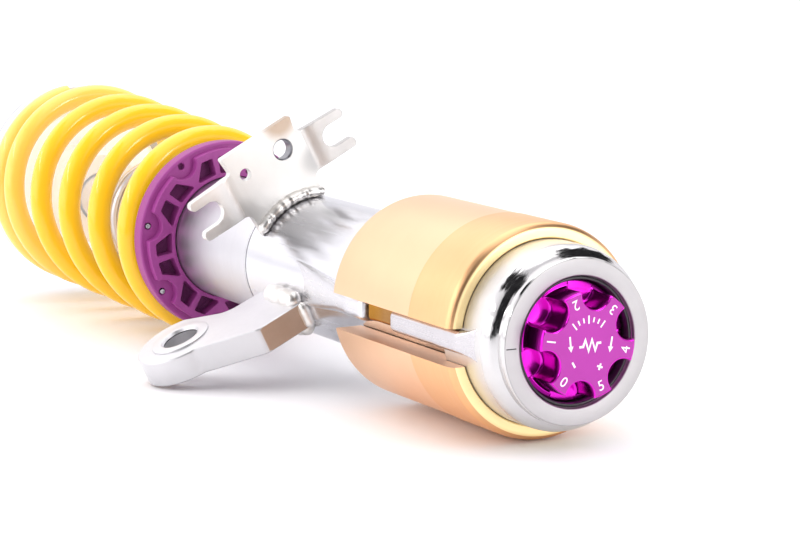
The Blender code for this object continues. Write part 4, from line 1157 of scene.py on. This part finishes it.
RACE_R, STEM_BORE_R = 25.0, 7.3
own(ring("race_low", 12.0, RACE_R, *span("lower_race"), corner=0.5), "top_mount", TUBE_STEEL,
    "stainless_steel", "lower_race")
cage_start, cage_end = span("bearing_cage")
cage = ring("ball_cage", 14.5, 21.2, cage_start + 0.9, cage_end - 0.9, corner=0.4)
own(cage, "top_mount", BRONZE, "bronze", "bearing_cage")
BALLS, BALL_AT, BALL_R = 22, 20.2, 1.95
work = bmesh.new()
for k in range(BALLS):
    place = Matrix.Translation(polar(BALL_AT, tau * k / BALLS, (cage_start + cage_end) / 2.0))
    bmesh.ops.create_uvsphere(work, u_segments=16, v_segments=10, radius=BALL_R, matrix=place)
own(finished("bearing_balls", work), "top_mount", CHROME, "stainless_steel")

upper_start, upper_end = span("upper_race")
own(lathe("race_high", [
    (RACE_R, upper_end, 0.5), (RACE_R, upper_start, 0.5), (STEM_BORE_R, upper_start, 0.2),
    (STEM_BORE_R, upper_end - 0.8, 0.2), (15.5, upper_end - 0.8, 0.3), (15.5, upper_end, 0.3)]),
    "rod", TUBE_STEEL, "stainless_steel", "upper_race")
own(ring("top_washer", STEM_BORE_R, 14.0, *span("rod_washer"), corner=0.4), "rod", ZINC, "zinc_plate",
    "rod_washer")


def hexagon_nut(name, corner_r, bore_r, start, end):
    """A hexagon nut whose corners are turned down at both ends."""
    rows = []
    for i in range(96):
        angle = tau * i / 96
        flat = corner_r * cos(pi / 6.0)
        across = flat / cos((angle + pi / 6.0) % (pi / 3.0) - pi / 6.0)
        cone = corner_r - flat
        over = max(0.0, across - flat * 1.02)
        outline = [(bore_r, start + 0.8), (bore_r + 0.8, start), (flat * 0.97, start),
                   (across, start + 0.25 * cone + over * 0.6), (across, end - 0.25 * cone - over * 0.6),
                   (flat * 0.97, end), (bore_r + 0.8, end), (bore_r, end - 0.8)]
        rows.append([(r * cos(angle), r * sin(angle), z) for r, z in outline])
    made = bmesh.new()
    grid(made, rows, True, True)
    return finished(name, made, 25.0)


own(hexagon_nut("top_nut", 12.4, STEM_BORE_R, *span("rod_nut")), "rod", ZINC, "zinc_plate", "rod_nut")

rod_start, rod_end = span("piston_rod")
ROD_R = radius_of("piston_rod")
STEM_R, THREAD_DEPTH = 7.0, 0.55
PISTON_R, PISTON_SEAT = 6.0, 208.0
profile = [(0.0, rod_start, 0.0), (PISTON_R, rod_start, 0.3), (PISTON_R, PISTON_SEAT, 0.0),
           (ROD_R, PISTON_SEAT, 0.4),
           (ROD_R, cage_end, 0.4), (STEM_R, cage_end, 0.2), (STEM_R, upper_end, 0.0)]
z = upper_end + 0.2
while z < rod_end - 2.0:
    profile += [(STEM_R, z, 0.0), (STEM_R, z + 0.3, 0.0), (STEM_R - THREAD_DEPTH, z + 0.75, 0.0),
                (STEM_R - THREAD_DEPTH, z + 1.05, 0.0)]
    z += 1.5
profile += [(STEM_R - 0.3, rod_end - 1.2, 0.0), (STEM_R - 1.3, rod_end, 0.2), (0.0, rod_end, 0.0)]
own(lathe("damper_rod", profile, segments=96), "rod", CHROME, "hard_chrome", "piston_rod")

stop_start, stop_end = span("bump_stop")
STOP_R = radius_of("bump_stop")
profile = []
WAVES = 3
for i in range(WAVES * 12 + 1):
    share = i / (WAVES * 12)
    radius = STOP_R - 1.0 * (1.0 - cos(share * WAVES * tau)) - 5.0 * max(0.0, share - 0.5)
    profile.append((radius, stop_end - (stop_end - stop_start) * share, 0.0))
profile += [(ROD_R + 0.3, stop_start, 0.5), (ROD_R + 0.3, stop_end, 0.3)]
# The foam stop glows a little, as painted light.
own(lathe("foam_stop", profile, sharp=60.0), "rod", FOAM_GLOW, "microcellular_foam", "bump_stop")

# ---- gland nut and wiper ----------------------------------------------------------------
gland_start, gland_end = span("gland_nut")
gland = lathe("gland", [
    (TUBE_UPPER_R, gland_end, 0.8), (TUBE_UPPER_R, tube_end + 0.3, 0.3), (22.3, tube_end + 0.3, 0.0),
    (22.3, gland_start, 0.3), (ROD_R + 0.4, gland_start, 0.3), (ROD_R + 0.4, gland_end, 1.2)])
own(gland, "strut", ZINC, "stainless_steel", "gland_nut")
wiper = lathe("rod_wiper", [
    (ROD_R + 3.2, gland_end + 0.1, 0.2), (ROD_R + 3.2, gland_end - 1.0, 0.1),
    (ROD_R + 0.25, gland_end - 1.0, 0.1), (ROD_R + 0.05, gland_end + 0.9, 0.2),
    (ROD_R + 1.0, gland_end + 0.9, 0.4)], segments=96)
own(wiper, "strut", PAD_GREY, "black_rubber")

# ---- rebound dial -----------------------------------------------------------------------
dial_start, dial_end = span("rebound_dial")
DIAL_R = radius_of("rebound_dial")
KNURLS = 24


def dial_outline(inset, level):
    rim = []
    for i in range(KNURLS * 8):
        angle = tau * i / (KNURLS * 8)
        valley = 0.38 * (0.5 - 0.5 * cos(KNURLS * angle)) ** 2
        rim.append(polar(DIAL_R - valley - inset, angle, level))
    return rim


dial_levels = [(0.5, dial_start), (0.1, dial_start + 0.15), (0.0, dial_start + 0.5), (0.0, dial_end - 0.6),
               (0.15, dial_end - 0.2), (0.6, dial_end)]
dial = loft("dial_knob", [dial_outline(inset, level) for inset, level in dial_levels])
own(dial, "rebound_adjuster", KNOB_SIDE, "purple_anodised", "rebound_dial")

# ---- CAD nodes that stay ----------------------------------------------------------------
KEPT = {"base_valve": BRONZE, "inner_cylinder": TUBE_STEEL, "rod_guide": ZINC, "guide_bush": BRONZE,
        "rod_seal": RUBBER, "piston": BRONZE, "piston_ring": RUBBER, "piston_nut": ZINC,
        "rebound_stop": RUBBER, "bump_spindle": BRONZE}
for node, made in KEPT.items():
    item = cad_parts[node]
    for slot in item.material_slots:
        slot.link = 'OBJECT'
        slot.material = made

# ---- floor, light and camera ------------------------------------------------------------
scene = bpy.context.scene
# The strut lies on the sleeve's rim and on the spring's first coil.
sleeve_low, spring_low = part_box("clamp_sleeve")[0].z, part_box("main_spring")[0].z
sleeve_at = AXIS.x + (sleeve_start + 3.0) * MM
spring_at = AXIS.x + 270.0 * MM
tilt = atan2(sleeve_low - spring_low, spring_at - sleeve_at)
FLOOR_HALF, FLOOR_FLAT, FLOOR_RISE = 5.0, 1.6, 0.22
VIEW_ACROSS = Vector((0.877, -0.480))
work = bmesh.new()
bmesh.ops.create_grid(work, x_segments=100, y_segments=100, size=FLOOR_HALF)
for vertex in work.verts:
    beyond = max(0.0, vertex.co.to_2d().dot(VIEW_ACROSS) - FLOOR_FLAT)
    vertex.co.z = FLOOR_RISE * beyond * beyond
mesh = mesh_of("floor", work)
mesh.shade_smooth()
floor = linked("studio_floor", mesh)
floor.rotation_euler = (0.0, tilt, 0.0)
floor.location = (spring_at, AXIS.y, spring_low - 0.0002)
backdrop = bpy.data.materials.new("floor_paint")
backdrop.use_nodes = True
feed(backdrop.node_tree, backdrop.node_tree.nodes["Principled BSDF"], {
    "Base Color": (0.955, 0.955, 0.965, 1.0), "Roughness": 0.40, "Specular IOR Level": 0.25})
mesh.materials.append(backdrop)

world = bpy.data.worlds.new("studio")
scene.world = world
world.use_nodes = True
sky = world.node_tree
# Light grey at the cap's end of the strut, and white at the spring's end.
along = add_node(sky, "SeparateXYZ", {0: add_node(sky, "TexCoord", {})["Generated"]})["X"]
share = add_node(sky, "MapRange", {"Value": along, "From Min": -1.0})["Result"]
shades = ramp(sky, share, (0.62, 0.61, 0.63), (1.05, 1.03, 1.06), 0.30, 0.90)
feed(sky, sky.nodes["Background"], {"Color": shades, "Strength": 1.12})


def softbox(name, at, size, power):
    """An area light that faces the strut's middle."""
    data = bpy.data.lights.new(name, 'AREA')
    data.shape = 'RECTANGLE'
    data.size, data.size_y = size
    data.energy = power
    item = linked(name, data)
    item.location = at
    item.rotation_euler = (Vector((0.0, 0.0, 0.04)) - Vector(at)).to_track_quat('-Z', 'Y').to_euler()


softbox("top_box", (0.1, -0.1, 1.6), (2.6, 2.2), 11.0)
softbox("front_strip", (-1.5, -0.62, 0.30), (0.22, 1.2), 6.0)
softbox("low_fill", (0.15, 1.3, 0.30), (1.4, 0.4), 1.5)
softbox("side_strip", (0.5, 1.5, 0.95), (1.8, 0.07), 3.0)

CAMERA_OFFSET = Vector((-0.6705, 0.4298, 0.1516))
UNEVEN = 9.0


def mirrored(clock, lean):
    """Where the camera sees a mirror image in the cap's shoulder, as a direction."""
    outward = Vector((0.0, cos(clock), sin(clock)))
    normal = outward * cos(lean) - Vector((sin(lean), 0.0, 0.0))
    return (-CAMERA_OFFSET).normalized().reflect(normal)


def dark_card(name, clocks, leans, distance):
    """A curved matt black card that the shoulder mirrors between two clocks and two leans."""
    work = bmesh.new()
    steps = 40
    rows = []
    for i in range(steps + 1):
        clock = radians(clocks[0] + (clocks[1] - clocks[0]) * i / steps)
        ragged = UNEVEN * noise.noise(Vector((clock * 9.0, leans[0], 0.0)))
        row = []
        for k in range(steps + 1):
            lean = leans[0] + ragged + (leans[1] - leans[0] - ragged) * k / steps
            wave = radians(UNEVEN) * 0.6 * noise.noise(Vector((lean * 0.2, clocks[0], 3.0)))
            row.append(AXIS + mirrored(clock + wave, radians(lean)) * distance)
        rows.append(row)
    grid(work, rows, False, False)
    item = linked(name, mesh_of(name, work))
    item.data.materials.append(BLACK_CARD)
    item.visible_camera = False
    item.visible_diffuse = False
    item.visible_shadow = False


dark_card("left_card", (6.0, 53.0), (38.0, 70.0), 1.15)
dark_card("left_card_high", (37.0, 52.0), (13.0, 40.0), 1.15)
dark_card("top_card", (79.0, 121.0), (33.0, 64.0), 1.0)

CAMERA_TURN, CAMERA_TILT = radians(-28.68), radians(-9.13)
lens = bpy.data.cameras.new("camera")
lens.lens = 117.0
lens.sensor_width = 36.0
lens.clip_start, lens.clip_end = 0.01, 50.0
camera = linked("camera", lens)
camera.location = AXIS + CAMERA_OFFSET
forward = Vector((cos(CAMERA_TURN) * cos(CAMERA_TILT),
                  sin(CAMERA_TURN) * cos(CAMERA_TILT), sin(CAMERA_TILT)))
camera.rotation_euler = forward.to_track_quat('-Z', 'Y').to_euler()
scene.camera = camera
scene.view_settings.view_transform = 'Standard'
scene.view_settings.exposure = 0.42
